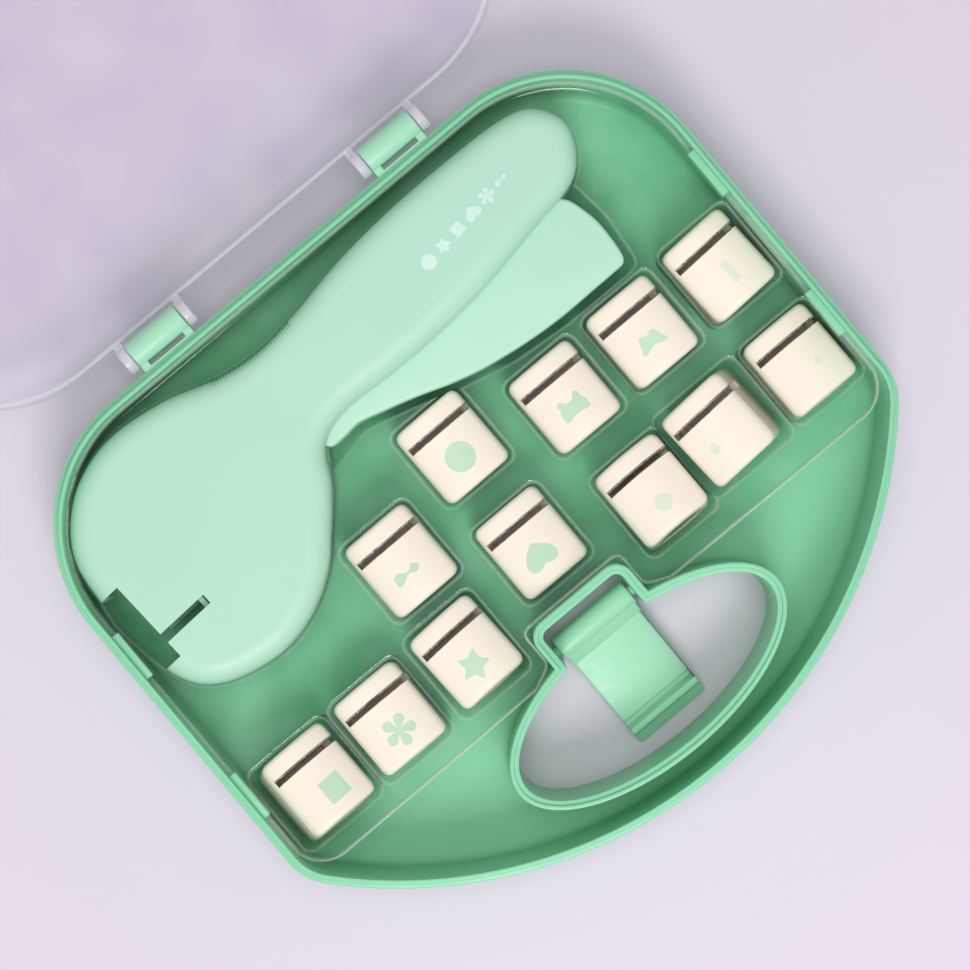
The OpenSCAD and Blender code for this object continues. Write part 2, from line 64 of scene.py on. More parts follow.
# %% Camera over the case
CAMERA_HEIGHT = 800.0
RIM_HEIGHT = 34.5
VIEW_WIDTH = 254.6
camera_data = bpy.data.cameras.new("camera")
camera_data.sensor_width = 36
camera_data.lens = 36 * CAMERA_HEIGHT / VIEW_WIDTH
camera_data.clip_start, camera_data.clip_end = 0.01, 20
camera = placed("camera", camera_data)
camera.location = (1.1 * MM, 8.6 * MM, (RIM_HEIGHT + CAMERA_HEIGHT) * MM)
camera.rotation_euler = (0, 0, math.radians(-40))
bpy.context.scene.camera = camera
print("camera lens", round(camera_data.lens, 1), "mm")

# %% [markdown]
# ## Finishes
# Moulded plastic is never one flat colour. The colour drifts a little over centimetres,
# the gloss changes over millimetres, and the mould leaves a grain of a few tenths of a
# millimetre. Each of these is one noise on Object coordinates, so it stays put when the
# part moves. Sizes in the noise nodes are per metre.

# %% Small helpers for node trees
def new_finish(name):
    """An empty node material with its output, its Object coordinates and its node maker."""
    finish = bpy.data.materials.new(name)
    finish.use_nodes = True
    tree = finish.node_tree
    tree.nodes.clear()
    output = tree.nodes.new("ShaderNodeOutputMaterial")
    place = tree.nodes.new("ShaderNodeTexCoord").outputs["Object"]
    return finish, tree, output, place


def srgb(red, green, blue):
    """Linear colour of an 8-bit sRGB one: ((c + 0.055) / 1.055) to the power 2.4."""
    c = np.array([red, green, blue]) / 255
    return (*np.where(c <= 0.04045, c / 12.92, ((c + 0.055) / 1.055) ** 2.4), 1.0)


def noise(tree, place, scale, detail=2.0):
    """A noise with this many features a metre."""
    node = tree.nodes.new("ShaderNodeTexNoise")
    node.inputs["Scale"].default_value = scale
    node.inputs["Detail"].default_value = detail
    tree.links.new(place, node.inputs["Vector"])
    return node.outputs["Fac"]


def spread(tree, value, low, high, begin=0.3, end=0.7):
    """The noise's middle range, from begin to end, stretched to low..high."""
    node = tree.nodes.new("ShaderNodeMapRange")
    for key, number in (("From Min", begin), ("From Max", end), ("To Min", low), ("To Max", high)):
        node.inputs[key].default_value = number
    tree.links.new(value, node.inputs["Value"])
    return node.outputs["Result"]


def two_tone(tree, share, first, second):
    """A colour between two, by share."""
    node = tree.nodes.new("ShaderNodeMix")
    node.data_type = "RGBA"
    node.inputs["A"].default_value, node.inputs["B"].default_value = first, second
    tree.links.new(share, node.inputs["Factor"])
    return node.outputs["Result"]


def relief(tree, height, strength, depth):
    """A bump of this depth in metres."""
    node = tree.nodes.new("ShaderNodeBump")
    node.inputs["Strength"].default_value = strength
    node.inputs["Distance"].default_value = depth
    tree.links.new(height, node.inputs["Height"])
    return node.outputs["Normal"]


# %% Moulded plastic
def moulded(name, colour, drift, gloss, grain=2600, depth=0.00004, soft=0.0):
    """Injection-moulded plastic: colour drifts by `drift`, roughness by a tenth, fine grain."""
    finish, tree, output, place = new_finish(name)
    shader = tree.nodes.new("ShaderNodeBsdfPrincipled")
    light = srgb(*colour)
    dark = (*(np.array(light[:3]) * (1 - drift)), 1.0)
    tree.links.new(two_tone(tree, spread(tree, noise(tree, place, 26), 0, 1), dark, light),
                   shader.inputs["Base Color"])
    tree.links.new(spread(tree, noise(tree, place, 420, 3), gloss - 0.05, gloss + 0.05),
                   shader.inputs["Roughness"])
    tree.links.new(relief(tree, noise(tree, place, grain, 3), 0.35, depth), shader.inputs["Normal"])
    shader.inputs["Specular IOR Level"].default_value = 0.45
    if soft:
        shader.inputs["Subsurface Weight"].default_value = soft
        shader.inputs["Subsurface Radius"].default_value = (0.6, 1.0, 0.8)
        shader.inputs["Subsurface Scale"].default_value = 0.0012
    tree.links.new(shader.outputs[0], output.inputs["Surface"])
    return finish


case_plastic = moulded("case_green_plastic", (142, 215, 174), 0.05, 0.36)
latch_plastic = moulded("latch_green_plastic", (172, 228, 196), 0.04, 0.38)
tool_plastic = moulded("tool_mint_plastic", (184, 228, 204), 0.03, 0.40, depth=0.00003)
lever_plastic = moulded("lever_mint_plastic", (189, 233, 209), 0.03, 0.38, depth=0.00003)
head_plastic = moulded("head_cream_plastic", (252, 240, 222), 0.03, 0.42, depth=0.00003)
shape_ink = moulded("shape_mint_ink", (202, 231, 200), 0.10, 0.55, grain=5200)
faint_ink = moulded("shape_faint_ink", (228, 236, 214), 0.06, 0.55, grain=5200)
white_ink = moulded("motif_white_ink", (212, 243, 228), 0.06, 0.5, grain=5200)
print("five moulded plastics and three inks made")

# %% [markdown]
# ### Clear plastic
# The tray and the lid are clear sheet. True glass shaders leave black shadows under thin
# sheet unless a great many light paths are traced. Here a sheet lets light straight
# through, tints it a little, and mirrors a share set by Fresnel. A second layer paints a
# milky white highlight on edges and pocket rims, standing in for light caught there over a
# little real milkiness of folded sheet. A value stored on the mesh's points says where.

# %% Clear sheet
def clear_sheet(name, tint, haze, haze_and_highlight_white, blur):
    """Straight-through light with a Fresnel mirror, and a painted milky highlight on edges from a point
    attribute.
    """
    finish, tree, output, place = new_finish(name)
    through = tree.nodes.new("ShaderNodeBsdfTransparent")
    cloud = spread(tree, noise(tree, place, 60), 0, 1)
    tree.links.new(two_tone(tree, cloud, srgb(*tint), srgb(255, 255, 255)), through.inputs["Color"])
    mirror = tree.nodes.new("ShaderNodeBsdfGlossy")
    tree.links.new(spread(tree, noise(tree, place, 180), blur * 0.6, blur * 1.4), mirror.inputs["Roughness"])
    wave = relief(tree, noise(tree, place, 90, 2), 0.3, 0.0003)
    tree.links.new(wave, mirror.inputs["Normal"])
    edge_on = tree.nodes.new("ShaderNodeFresnel")
    edge_on.inputs["IOR"].default_value = 1.5
    sheet_mix = tree.nodes.new("ShaderNodeMixShader")
    tree.links.new(spread(tree, edge_on.outputs[0], 0.03, 0.15, 0.04, 0.6), sheet_mix.inputs[0])
    tree.links.new(through.outputs[0], sheet_mix.inputs[1])
    tree.links.new(mirror.outputs[0], sheet_mix.inputs[2])
    body = tree.nodes.new("ShaderNodeBsdfPrincipled")
    body.inputs["Base Color"].default_value = srgb(*haze_and_highlight_white)
    tree.links.new(spread(tree, noise(tree, place, 300), 0.2, 0.35), body.inputs["Roughness"])
    # Painted highlight: a milky white layer, mixed in by a point attribute, stands in for light caught on
    # edges and rims.
    painted_edge_highlight = tree.nodes.new("ShaderNodeAttribute")
    painted_edge_highlight.attribute_name = "painted_edge_highlight"
    share = spread(tree, painted_edge_highlight.outputs["Fac"], haze, 0.62, 0, 1)
    whole = tree.nodes.new("ShaderNodeMixShader")
    tree.links.new(share, whole.inputs[0])
    tree.links.new(sheet_mix.outputs[0], whole.inputs[1])
    tree.links.new(body.outputs[0], whole.inputs[2])
    tree.links.new(whole.outputs[0], output.inputs["Surface"])
    return finish


# Each sheet's last colour is the white of its haze and of its painted edge highlight.
tray_plastic = clear_sheet("tray_clear_sheet", (236, 247, 241), 0.0, (236, 252, 243), 0.07)
lid_plastic = clear_sheet("lid_clear_plastic", (252, 251, 254), 0.02, (246, 244, 250), 0.10)
print("two clear sheets made")

# %% [markdown]
# ### Steel
# Ground and drawn steel has fine lines one way. A noise squeezed thirty times for the dies
# and twelve times for the bright steel gives those lines, and drives both the colour and the roughness.

# %% Ground and drawn steel
def steel(name, light, dark, rough, lines, metal=1.0):
    """Steel with lines along X: noise stretched by `lines`, on colour, roughness and relief."""
    finish, tree, output, place = new_finish(name)
    squeeze = tree.nodes.new("ShaderNodeMapping")
    squeeze.inputs["Scale"].default_value = (1, lines, lines)
    tree.links.new(place, squeeze.inputs["Vector"])
    streaks = noise(tree, squeeze.outputs[0], 110, 4)
    shader = tree.nodes.new("ShaderNodeBsdfPrincipled")
    shader.inputs["Metallic"].default_value = metal
    tree.links.new(two_tone(tree, spread(tree, streaks, 0, 1), srgb(*dark), srgb(*light)),
                   shader.inputs["Base Color"])
    tree.links.new(spread(tree, streaks, rough - 0.08, rough + 0.1), shader.inputs["Roughness"])
    tree.links.new(relief(tree, streaks, 0.3, 0.00003), shader.inputs["Normal"])
    tree.links.new(shader.outputs[0], output.inputs["Surface"])
    return finish


die_steel = steel("die_ground_steel", (238, 232, 218), (84, 76, 62), 0.26, 30, 0.75)
bright_steel = steel("bright_drawn_steel", (220, 220, 216), (160, 160, 158), 0.25, 12)
print("two steels made")

# %% [markdown]
# ## From arrays to pieces
# Most parts here are a stack of rings. A ring is one outline at one height, and two
# neighbouring rings are joined by four-sided faces. Going up the outside, over the rim and
# down the inside in one stack gives a wall with a real thickness and rounded edges.

# %% Rings, caps and pieces
def skin(rings, closed=False, caps=(False, False)):
    """Points and faces over a (rows, around, 3) stack: quad (i,j)-(i,j+1)-(i+1,j+1)-(i+1,j)."""
    rows, around = rings.shape[:2]
    i = np.arange(rows if closed else rows - 1)[:, None]
    j = np.arange(around)[None, :]
    up, on = (i + 1) % rows, (j + 1) % around
    quads = np.stack([i * around + j, i * around + on, up * around + on, up * around + j], -1)
    faces = quads.reshape(-1, 4).tolist()
    if caps[0]:
        faces.append(np.arange(around)[::-1].tolist())
    if caps[1]:
        faces.append((np.arange(around) + (rows - 1) * around).tolist())
    return rings.reshape(-1, 3), faces


def together(*parts):
    """Several (points, faces) as one, each face's numbers shifted by the points before it."""
    points, faces, before = [], [], 0
    for part_points, part_faces in parts:
        points.append(part_points)
        faces += [[k + before for k in face] for face in part_faces]
        before += len(part_points)
    return np.concatenate(points), faces


def soften(mesh, angle):
    """Smooth shading up to `angle` degrees between faces."""
    mesh.shade_smooth()
    mesh.set_sharp_from_angle(angle=math.radians(angle))


def mesh_of(name, part, angle=38):
    """A mesh in metres from a part in mm, smooth up to `angle` degrees between faces."""
    mesh = bpy.data.meshes.new(name)
    mesh.from_pydata((np.asarray(part[0], float) * MM).tolist(), [], part[1])
    mesh.update()
    soften(mesh, angle)
    return mesh


def points_mm(mesh):
    """A mesh's points in mm."""
    flat = np.empty(len(mesh.vertices) * 3)
    mesh.vertices.foreach_get("co", flat)
    return flat.reshape(-1, 3) / MM


def mark_painted_edge_highlight(mesh, values):
    """Stores each point's share of painted milky edge highlight, which the clear finish reads."""
    mesh.attributes.new("painted_edge_highlight", "FLOAT", "POINT").data.foreach_set("value", values)


def piece(name, part, body, finish, nodes=(), angle=38):
    """A finished piece: mesh, finish, the body that it rides on and the CAD nodes it replaces."""
    mesh = part if isinstance(part, bpy.types.Mesh) else mesh_of(name, part, angle)
    mesh.name = name
    mesh.materials.clear()
    mesh.materials.append(finish)
    thing = placed(name, mesh)
    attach(thing, body)
    if nodes:
        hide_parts(*nodes)
    print(f"{name}: {len(mesh.vertices)} points, {len(mesh.polygons)} faces")
    return thing


def modified(thing, *helpers):
    """The mesh with its modifiers applied; the object and its helpers go."""
    bpy.context.view_layer.update()
    result = bpy.data.meshes.new_from_object(thing.evaluated_get(bpy.context.evaluated_depsgraph_get()))
    for spent in (thing, *helpers):
        bpy.data.objects.remove(spent)
    return result


def cut(part, cutters, angle=38):
    """The mesh of a part with every cutter taken out of it by the exact Boolean."""
    host = placed("host", mesh_of("host", part))
    knife = placed("knife", mesh_of("knife", together(*cutters)))
    step = host.modifiers.new("cut", "BOOLEAN")
    step.operation, step.solver, step.object = "DIFFERENCE", "EXACT", knife
    step.use_self = len(cutters) > 1
    result = modified(host, knife)
    soften(result, angle)
    return result


# %% [markdown]
# ### Outlines
# Every plan view is a closed line of points that runs anticlockwise. Three tools are
# enough: an arc, a smooth curve through given points, and a line moved inwards.

# %% Arcs, smooth curves, insets
def arc(centre, radius, start, end, count):
    """centre + radius (cos a, sin a), a from start to end degrees."""
    a = np.radians(np.linspace(start, end, count))
    return np.column_stack([centre[0] + radius * np.cos(a), centre[1] + radius * np.sin(a)])


def circle(centre, radius, count=48):
    """A closed round line."""
    return arc(centre, radius, 0, 360 - 360 / count, count)


def smooth_ring(points, steps):
    """Catmull-Rom curve through a closed ring, with steps[i] points from point i to the next."""
    p = np.asarray(points, float)
    steps = np.broadcast_to(steps, len(p))
    i = np.repeat(np.arange(len(p)), steps)
    u = np.concatenate([np.arange(s) / s for s in steps])[:, None]
    a, b, c, d = (p[(i + k) % len(p)] for k in (-1, 0, 1, 2))
    return 0.5 * (2 * b + (c - a) * u + (2 * a - 5 * b + 4 * c - d) * u**2 + (3 * b - a - 3 * c + d) * u**3)


def inset(ring, distance):
    """The ring moved left of its own direction: each point + distance times the unit normal."""
    run = np.roll(ring, -1, 0) - np.roll(ring, 1, 0)
    normal = np.column_stack([-run[:, 1], run[:, 0]]) / np.linalg.norm(run, axis=1)[:, None]
    return ring + np.reshape(distance, (-1, 1)) * normal


def round_corners(points, radius, steps=5):
    """Each corner becomes (1-t)^2 A + 2t(1-t) B + t^2 C, A and C at `radius` along its two sides."""
    p = np.asarray(points, float)
    before, after = np.roll(p, 1, 0) - p, np.roll(p, -1, 0) - p
    r = np.broadcast_to(radius, len(p))[:, None]
    reach_a = np.minimum(r, np.linalg.norm(before, axis=1)[:, None] * 0.48)
    reach_c = np.minimum(r, np.linalg.norm(after, axis=1)[:, None] * 0.48)
    a = p + before / np.linalg.norm(before, axis=1)[:, None] * reach_a
    c = p + after / np.linalg.norm(after, axis=1)[:, None] * reach_c
    t = np.linspace(0, 1, steps)[None, :, None]
    return ((1 - t) ** 2 * a[:, None] + 2 * t * (1 - t) * p[:, None] + t**2 * c[:, None]).reshape(-1, 2)


def lift(ring, height):
    """A flat ring at a height, as 3-D points."""
    return np.column_stack([ring, np.broadcast_to(height, len(ring))])


def pillow(ring, low, high, edge, steps=3):
    """A closed block with rounded edges: inset = edge (1 - cos a) at the height low or high -+ edge sin a."""
    a = np.linspace(0, np.pi / 2, steps + 1)
    sides = [(edge * (1 - np.cos(k)), low + edge * (1 - np.sin(k))) for k in a[::-1]]
    sides += [(edge * (1 - np.cos(k)), high - edge * (1 - np.sin(k))) for k in a]
    return skin(np.stack([lift(inset(ring, d), z) for d, z in sides]), caps=(True, True))


def along_x(part):
    """Turns a block made in (u, v, w) so that u is Y, v is Z and w is X."""
    return part[0][:, [2, 0, 1]], part[1]


def rectangle(x0, x1, y0, y1):
    """The four corners of a rectangle, anticlockwise."""
    return np.array([[x0, y0], [x1, y0], [x1, y1], [x0, y1]], float)


def moved(part, shift=(0, 0, 0), roll=0.0, pitch=0.0, yaw=0.0, about=(0, 0, 0)):
    """Turns about `about` by pitch (X), then roll (Y), then yaw (Z) degrees, then shifts."""
    a, b, c = np.radians([pitch, roll, yaw])
    rx = np.array([[1, 0, 0], [0, np.cos(a), -np.sin(a)], [0, np.sin(a), np.cos(a)]])
    ry = np.array([[np.cos(b), 0, np.sin(b)], [0, 1, 0], [-np.sin(b), 0, np.cos(b)]])
    rz = np.array([[np.cos(c), -np.sin(c), 0], [np.sin(c), np.cos(c), 0], [0, 0, 1]])
    about = np.asarray(about, float)
    return (part[0] - about) @ (rz @ ry @ rx).T + about + np.asarray(shift, float), part[1]


print("shape tools ready")

# %% [markdown]
# ## The carry case
# The case is one moulding: a floor, walls with a stepped rim, and a ring round the hand
# hole, which has a notch for the latch. Both the outside and the hole are seen whole from
# a point in the middle of the hole, so each is a distance that depends on the direction.
# With the same directions for both, one stack of rings covers the case from its outer
# foot, over the rim, across the floor and down through the hole.

# %% Outside line and hole line as distances from the middle of the hole
CASE_WIDTH, HINGE_SIDE, HANDLE_SIDE = 205.0, 88.7, 89.0
CORNER, BOW, FILLET = 42.0, 132.0, 16.0
HOLE_X, HOLE_Y, HOLE_MIDDLE = 41.7, 18.0, -59.5
NOTCH_X, NOTCH_BACK, NOTCH_CORNER = 13.4, -31.0, 2.4


def case_line(d, dense=60):
    """Outside line d further in: two big corners, two small fillets and one long bow."""
    half, bow_y = CASE_WIDTH / 2, BOW - HANDLE_SIDE
    fx = half - FILLET
    fy = bow_y - math.sqrt((BOW - FILLET) ** 2 - fx**2)
    turn = math.degrees(math.atan2(bow_y - fy, fx))
    cx, cy = half - CORNER, HINGE_SIDE - CORNER
    return np.concatenate([
        arc((fx, fy), FILLET - d, -turn, 0, dense), arc((cx, cy), CORNER - d, 0, 90, dense),
        arc((-cx, cy), CORNER - d, 90, 180, dense), arc((-fx, fy), FILLET - d, 180, 180 + turn, dense),
        arc((0, bow_y), BOW - d, 180 + turn, 360 - turn, 2 * dense)[1:-1]])


def thick_sides(line, gap=1.5):
    """The same closed line with straight stretches filled at least every `gap` mm."""
    ends = np.roll(line, -1, 0)
    count = np.maximum(1, np.ceil(np.linalg.norm(ends - line, axis=1) / gap).astype(int))
    i = np.repeat(np.arange(len(line)), count)
    u = np.concatenate([np.arange(c) / c for c in count])[:, None]
    return line[i] * (1 - u) + ends[i] * u


def case_reach(angles, d):
    """Distance from the hole's middle to the outside line in each direction."""
    line = thick_sides(case_line(d)) - (0, HOLE_MIDDLE)
    a, r = np.arctan2(line[:, 1], line[:, 0]), np.linalg.norm(line, axis=1)
    order = np.argsort(a)
    return np.interp(angles, a[order], r[order], period=2 * np.pi)


def hole_reach(angles, d):
    """The larger of an ellipse, ab / root((b cos)^2 + (a sin)^2), and a box with round corners."""
    c, s = np.cos(angles), np.sin(angles)
    a, b = HOLE_X + d, HOLE_Y + d
    ellipse = a * b / np.hypot(b * c, a * s)
    w, h, r = NOTCH_X + d, NOTCH_BACK - HOLE_MIDDLE + d, NOTCH_CORNER + d
    side, back = w / np.maximum(np.abs(c), 1e-6), h / np.maximum(s, 1e-6)
    box = np.minimum(side, back)
    mid = np.abs(c) * (w - r) + s * (h - r)
    root = mid**2 - ((w - r) ** 2 + (h - r) ** 2 - r**2)
    corner = (box * np.abs(c) > w - r) & (box * s > h - r) & (root > 0)
    box = np.where(corner, mid + np.sqrt(np.maximum(root, 0)), box)
    return np.maximum(ellipse, np.where(s > 0.3, box, 0))


def even_directions(reach, count):
    """Directions that step evenly along a line, from its running length."""
    a = np.linspace(-np.pi, np.pi, 7201)
    r = reach(a, 0.0)
    steps = np.hypot(np.diff(r * np.cos(a)), np.diff(r * np.sin(a)))
    length = np.concatenate([[0], np.cumsum(steps)])
    return np.interp(np.linspace(0, length[-1], count, endpoint=False), length, a)


DIRECTIONS = np.unique(np.round(np.concatenate([
    even_directions(case_reach, 230), even_directions(hole_reach, 200),
    np.radians(np.linspace(50, 66, 24)), np.radians(np.linspace(114, 130, 24))]), 3))


def ring_at(reach, height):
    """The 3-D ring at a distance in every direction."""
    return np.column_stack([reach * np.cos(DIRECTIONS), HOLE_MIDDLE + reach * np.sin(DIRECTIONS),
                            np.full(len(DIRECTIONS), height)])


def bridge(outer, inner, height, count):
    """Rings that share the way evenly from one distance to another, ends left out."""
    t = np.linspace(0, 1, count + 2)[1:-1]
    return [ring_at(outer * (1 - k) + inner * k, height) for k in t]


print(len(DIRECTIONS), "directions round the case")

# %% The case in one stack
outside = [(2.4, 0), (1.5, 0.25), (1.05, 0.8), (0.9, 1.6), (0.9, 29.8), (0.85, 30), (0.2, 30),
           (0.04, 30.08), (0, 30.3), (0, 31.7), (0.06, 31.9), (0.25, 32), (1.4, 32), (1.5, 32.1),
           (1.5, 34.2), (1.56, 34.4), (1.75, 34.5), (2.35, 34.5), (2.53, 34.42), (2.6, 34.2),
           (2.6, 5.2), (2.7, 4.0), (3.1, 3.0), (3.9, 2.3), (5.2, 2.0)]
hole_side = [(5.0, 2.0), (3.7, 2.3), (3.0, 2.9), (2.7, 3.7), (2.6, 4.8), (2.6, 34.2), (2.54, 34.4),
             (2.38, 34.5), (1.55, 34.5), (1.42, 34.42), (1.36, 34.2), (1.36, 33.75), (1.28, 33.62),
             (0.3, 33.6), (0.06, 33.52), (0, 33.3), (0, 0.7), (0.08, 0.25), (0.35, 0)]
case_rings = [ring_at(case_reach(DIRECTIONS, d), z) for d, z in outside]
case_rings += bridge(case_reach(DIRECTIONS, 5.2), hole_reach(DIRECTIONS, 5.0), 2.0, 7)
case_rings += [ring_at(hole_reach(DIRECTIONS, d), z) for d, z in hole_side]
case_rings += bridge(hole_reach(DIRECTIONS, 0.35), case_reach(DIRECTIONS, 2.4), 0.0, 4)
case_shell = skin(np.stack(case_rings), closed=True)

# %% Ledges that hold the tray
ledges = [pillow(round_corners(rectangle(x0, x1, y, y + 14.6), 0.5, 3), 28, 32, 0.35)
          for x0, x1 in ((97.95, 100.6), (-100.6, -97.95)) for y in (26.5, -21.5)]
piece("case_shell", together(case_shell, *ledges), "case", case_plastic, ["case_base"])

# %% [markdown]
# ### Hinge barrels
# Two lugs reach out from the hinge side. Each is a round barrel on a flat tongue with a
# long slot, which is where the mould's core came through. The side view is drawn once and
# pulled along X, then the slot is cut with a Boolean.

# %% Hinge lugs
HINGE_Y, HINGE_Z, BARREL, BARREL_LENGTH = 94.2, 30.0, 4.0, 16.8
tongue_meets = 180 - math.degrees(math.asin(1.8 / BARREL))
lug_side = np.concatenate([[[87.0, 26.0]], arc((HINGE_Y, HINGE_Z), BARREL, -90, tongue_meets, 26),
                           [[87.0, 31.8]]])
for side, x in (("left", -40.0), ("right", 40.0)):
    lug = along_x(pillow(lug_side, x - BARREL_LENGTH / 2, x + BARREL_LENGTH / 2, 0.4))
    slot_knife = pillow(round_corners(rectangle(x - 6, x + 6, 89.2, 90.8), 0.4, 3), 20, 40, 0.1, 1)
    bore_knife = along_x(pillow(circle((HINGE_Y, HINGE_Z), 1.46), x - 12, x + 12, 0.1, 1))
    piece(f"hinge_lug_{side}", cut(lug, [slot_knife, bore_knife]), "case", latch_plastic)

# %% [markdown]
# ## The lid
# The lid is drawn as it sits when shut, with the same kind of ring stack, and then turned
# back about the hinge until its far edge lies on the table. Clear plastic shows mostly at
# its edges, where light catches it, so an attribute marks them for a painted milky highlight.

# %% Lid shell, ears and catch
LID_TURN = 185.815
# The third number of each lid row is its share of painted milky edge highlight.
lid_outside = [(1.1, 32.05, 0.6), (0.3, 32.05, 0.6), (0.12, 32.2, 0.6), (0.1, 32.6, 0.3),
               (0.1, 38.9, 0.1), (0.35, 40.1, 0.2), (1.0, 41.0, 0.2), (1.9, 41.38, 0.1),
               (2.8, 41.45, 0)]
lid_hole = [(2.0, 41.45, 0), (0.6, 41.45, 0.3), (0.3, 41.38, 0.7), (0.2, 41.1, 0.8), (0.2, 34.8, 0.7),
            (0.3, 34.6, 0.9), (1.3, 34.6, 0.9), (1.4, 34.8, 0.6), (1.4, 40.0, 0.3), (1.6, 40.25, 0.1)]
lid_inside = [(3.2, 40.25, 0), (2.2, 40.1, 0.1), (1.5, 39.5, 0.2), (1.25, 38.6, 0.15), (1.2, 32.6, 0.5),
              (1.2, 32.15, 1)]
lid_rings, lid_edge_highlight = [], []


def add_rings(reach, rows):
    """Adds a ring and its painted edge highlight share for each (inset, height, highlight share)."""
    for d, z, painted_edge_highlight in rows:
        lid_rings.append(ring_at(reach(DIRECTIONS, d), z))
        lid_edge_highlight.append(painted_edge_highlight)


def add_flat(outer, inner, height):
    """Adds six rings of flat sheet, with no painted edge highlight, from one distance to another."""
    lid_rings.extend(bridge(outer, inner, height, 6))
    lid_edge_highlight.extend([0.0] * 6)


add_rings(case_reach, lid_outside)
add_flat(case_reach(DIRECTIONS, 2.8), hole_reach(DIRECTIONS, 2.0), 41.45)
add_rings(hole_reach, lid_hole)
add_flat(hole_reach(DIRECTIONS, 1.6), case_reach(DIRECTIONS, 3.2), 40.25)
add_rings(case_reach, lid_inside)
lid_shell = skin(np.stack(lid_rings), closed=True)
ears = []
for x in (-40.0, 40.0):
    for side in (-1, 1):
        x0 = x + BARREL_LENGTH / 2 + 0.3 if side > 0 else x - BARREL_LENGTH / 2 - 2.9
        ear_side = np.concatenate([[[87.7, 32.05]], arc((HINGE_Y, HINGE_Z), 3.8, 147.4, 405, 30),
                                   [[97.2, 35.6]], [[87.7, 35.65]]])
        ears.append(along_x(pillow(round_corners(ear_side, 0.3, 3), x0, x0 + 2.6, 0.3)))
        pin_from = x0 - 3.3 if side > 0 else x0 + 2.5
        ears.append(along_x(pillow(circle((HINGE_Y, HINGE_Z), 1.4, 24), pin_from, pin_from + 3.4, 0.2)))
catch = pillow(round_corners(rectangle(-9, 9, -34.4, -30.4), 0.4, 3), 35.4, 37.0, 0.25)
lid_part = together(lid_shell, *ears, catch)
lid_part = moved(lid_part, pitch=-LID_TURN, about=(0, HINGE_Y, HINGE_Z))
lid = piece("lid_clear_shell", lid_part, "lid", lid_plastic, ["lid"])
# Painted highlight: ears, pins and catch get a milky share of 0.75, and the shell takes each row's share.
lid_edge_highlight_values = np.full(len(lid_part[0]), 0.75)
lid_edge_highlight_values[: len(lid_shell[0])] = np.repeat(lid_edge_highlight, len(DIRECTIONS))
mark_painted_edge_highlight(lid.data, lid_edge_highlight_values)

# %% [markdown]
# ## The latch
# The latch hangs in the notch of the hand hole: a barrel on a pin, a flat plate and a
# hooked end. Barrel and plate are two side views pulled along X.

# %% Latch
LATCH_Y, LATCH_Z, LATCH_HALF, LATCH_DROOP = -38.6, 8.6, 12.3, 10.293
plate_side = round_corners([[1, -2], [1, 0.4], [-27.0, 0.4], [-27.4, -0.5], [-28.6, -0.5],
                            [-28.6, 5.2], [-30.4, 5.2], [-31.4, 2.6], [-34.7, 0.4], [-34.7, -2]], 0.5, 4)
web_side = round_corners([[-6.2, -1.9], [0, -3.4], [0, 3.5], [-2.6, 2.4], [-6.2, 0.5]], 0.8, 4)
latch_barrel = along_x(pillow(arc((0, 0), 3.6, 0, 353, 52), -LATCH_HALF, LATCH_HALF, 0.5))
latch_plate = along_x(pillow(plate_side, -LATCH_HALF + 0.9, LATCH_HALF - 0.9, 0.4))
latch_web = along_x(pillow(web_side, -LATCH_HALF + 0.5, LATCH_HALF - 0.5, 0.4))
latch_pin = along_x(pillow(circle((0, 0), 1.5, 24), -15.6, 15.6, 0.2))
latch_part = moved(together(latch_barrel, latch_plate, latch_web, latch_pin), pitch=LATCH_DROOP,
                   shift=(0, LATCH_Y, LATCH_Z))
piece("latch_hook", latch_part, "latch", latch_plastic, ["latch"])

# %% [markdown]
# ## The squeeze punch
# The tool is two shells with a lever between them. Its side view is a smooth closed curve.
# Each shell is a stack of that curve moved inwards while it rises, on a superellipse, which
# gives the soft pillow edge of moulded grips. Fine ribs for the thumb are a small wave on
# the curve itself, strongest at the edge and gone a few millimetres in.

# %% Side view of the tool, with thumb ribs
TOOL = [[-97.3, 39], [-96.9, 49.3], [-95.5, 61.2], [-90.5, 70.3], [-81.1, 78], [-67.5, 81.9],
        [-50.4, 80.4], [-35.3, 75.9], [-22.2, 74.4], [-8.1, 75.9], [8.1, 78.9], [26.1, 80.6],
        [46.3, 81], [65.4, 80.2], [75, 76.7], [79.2, 67.1], [71.5, 55.9], [54.4, 52.4], [36.2, 49],
        [18.1, 47.3], [2, 47.1], [-14.1, 47.5], [-24.1, 44.1], [-30.2, 34.5], [-38.3, 25.1],
        [-46.3, 17.3], [-57.4, 11.2], [-70.4, 9.2], [-85.6, 13], [-93.6, 21.6]]
TOOL_MIDDLE, TOOL_HALF, SIDE_HALF, SOFT_EDGE = 17.7, 15.0, 8.9, 6.8
RIB_FROM, RIB_TO, RIB_PITCH, RIB_DEPTH = -37.0, -11.0, 0.95, 0.5
PILLOW_POWER, SHELL_WALL, SHELL_ROOF = 2.3, 2.2, 12.8
tool_steps = np.full(len(TOOL), 10)
tool_steps[6:9] = [60, 110, 110]
tool_line = smooth_ring(TOOL, tool_steps)[::-1]
plain_line = smooth_ring(TOOL, 8)[::-1]
run = np.concatenate([[0], np.cumsum(np.linalg.norm(np.diff(tool_line, axis=0), axis=1))])
on_ribs = (tool_line[:, 0] > RIB_FROM) & (tool_line[:, 0] < RIB_TO) & (tool_line[:, 1] > 70)
rib_wave = np.where(on_ribs, 0.5 - 0.5 * np.cos(2 * np.pi * run / RIB_PITCH), 0.0)
print(len(tool_line), "points round the tool,", int(on_ribs.sum()), "of them on the thumb ribs")


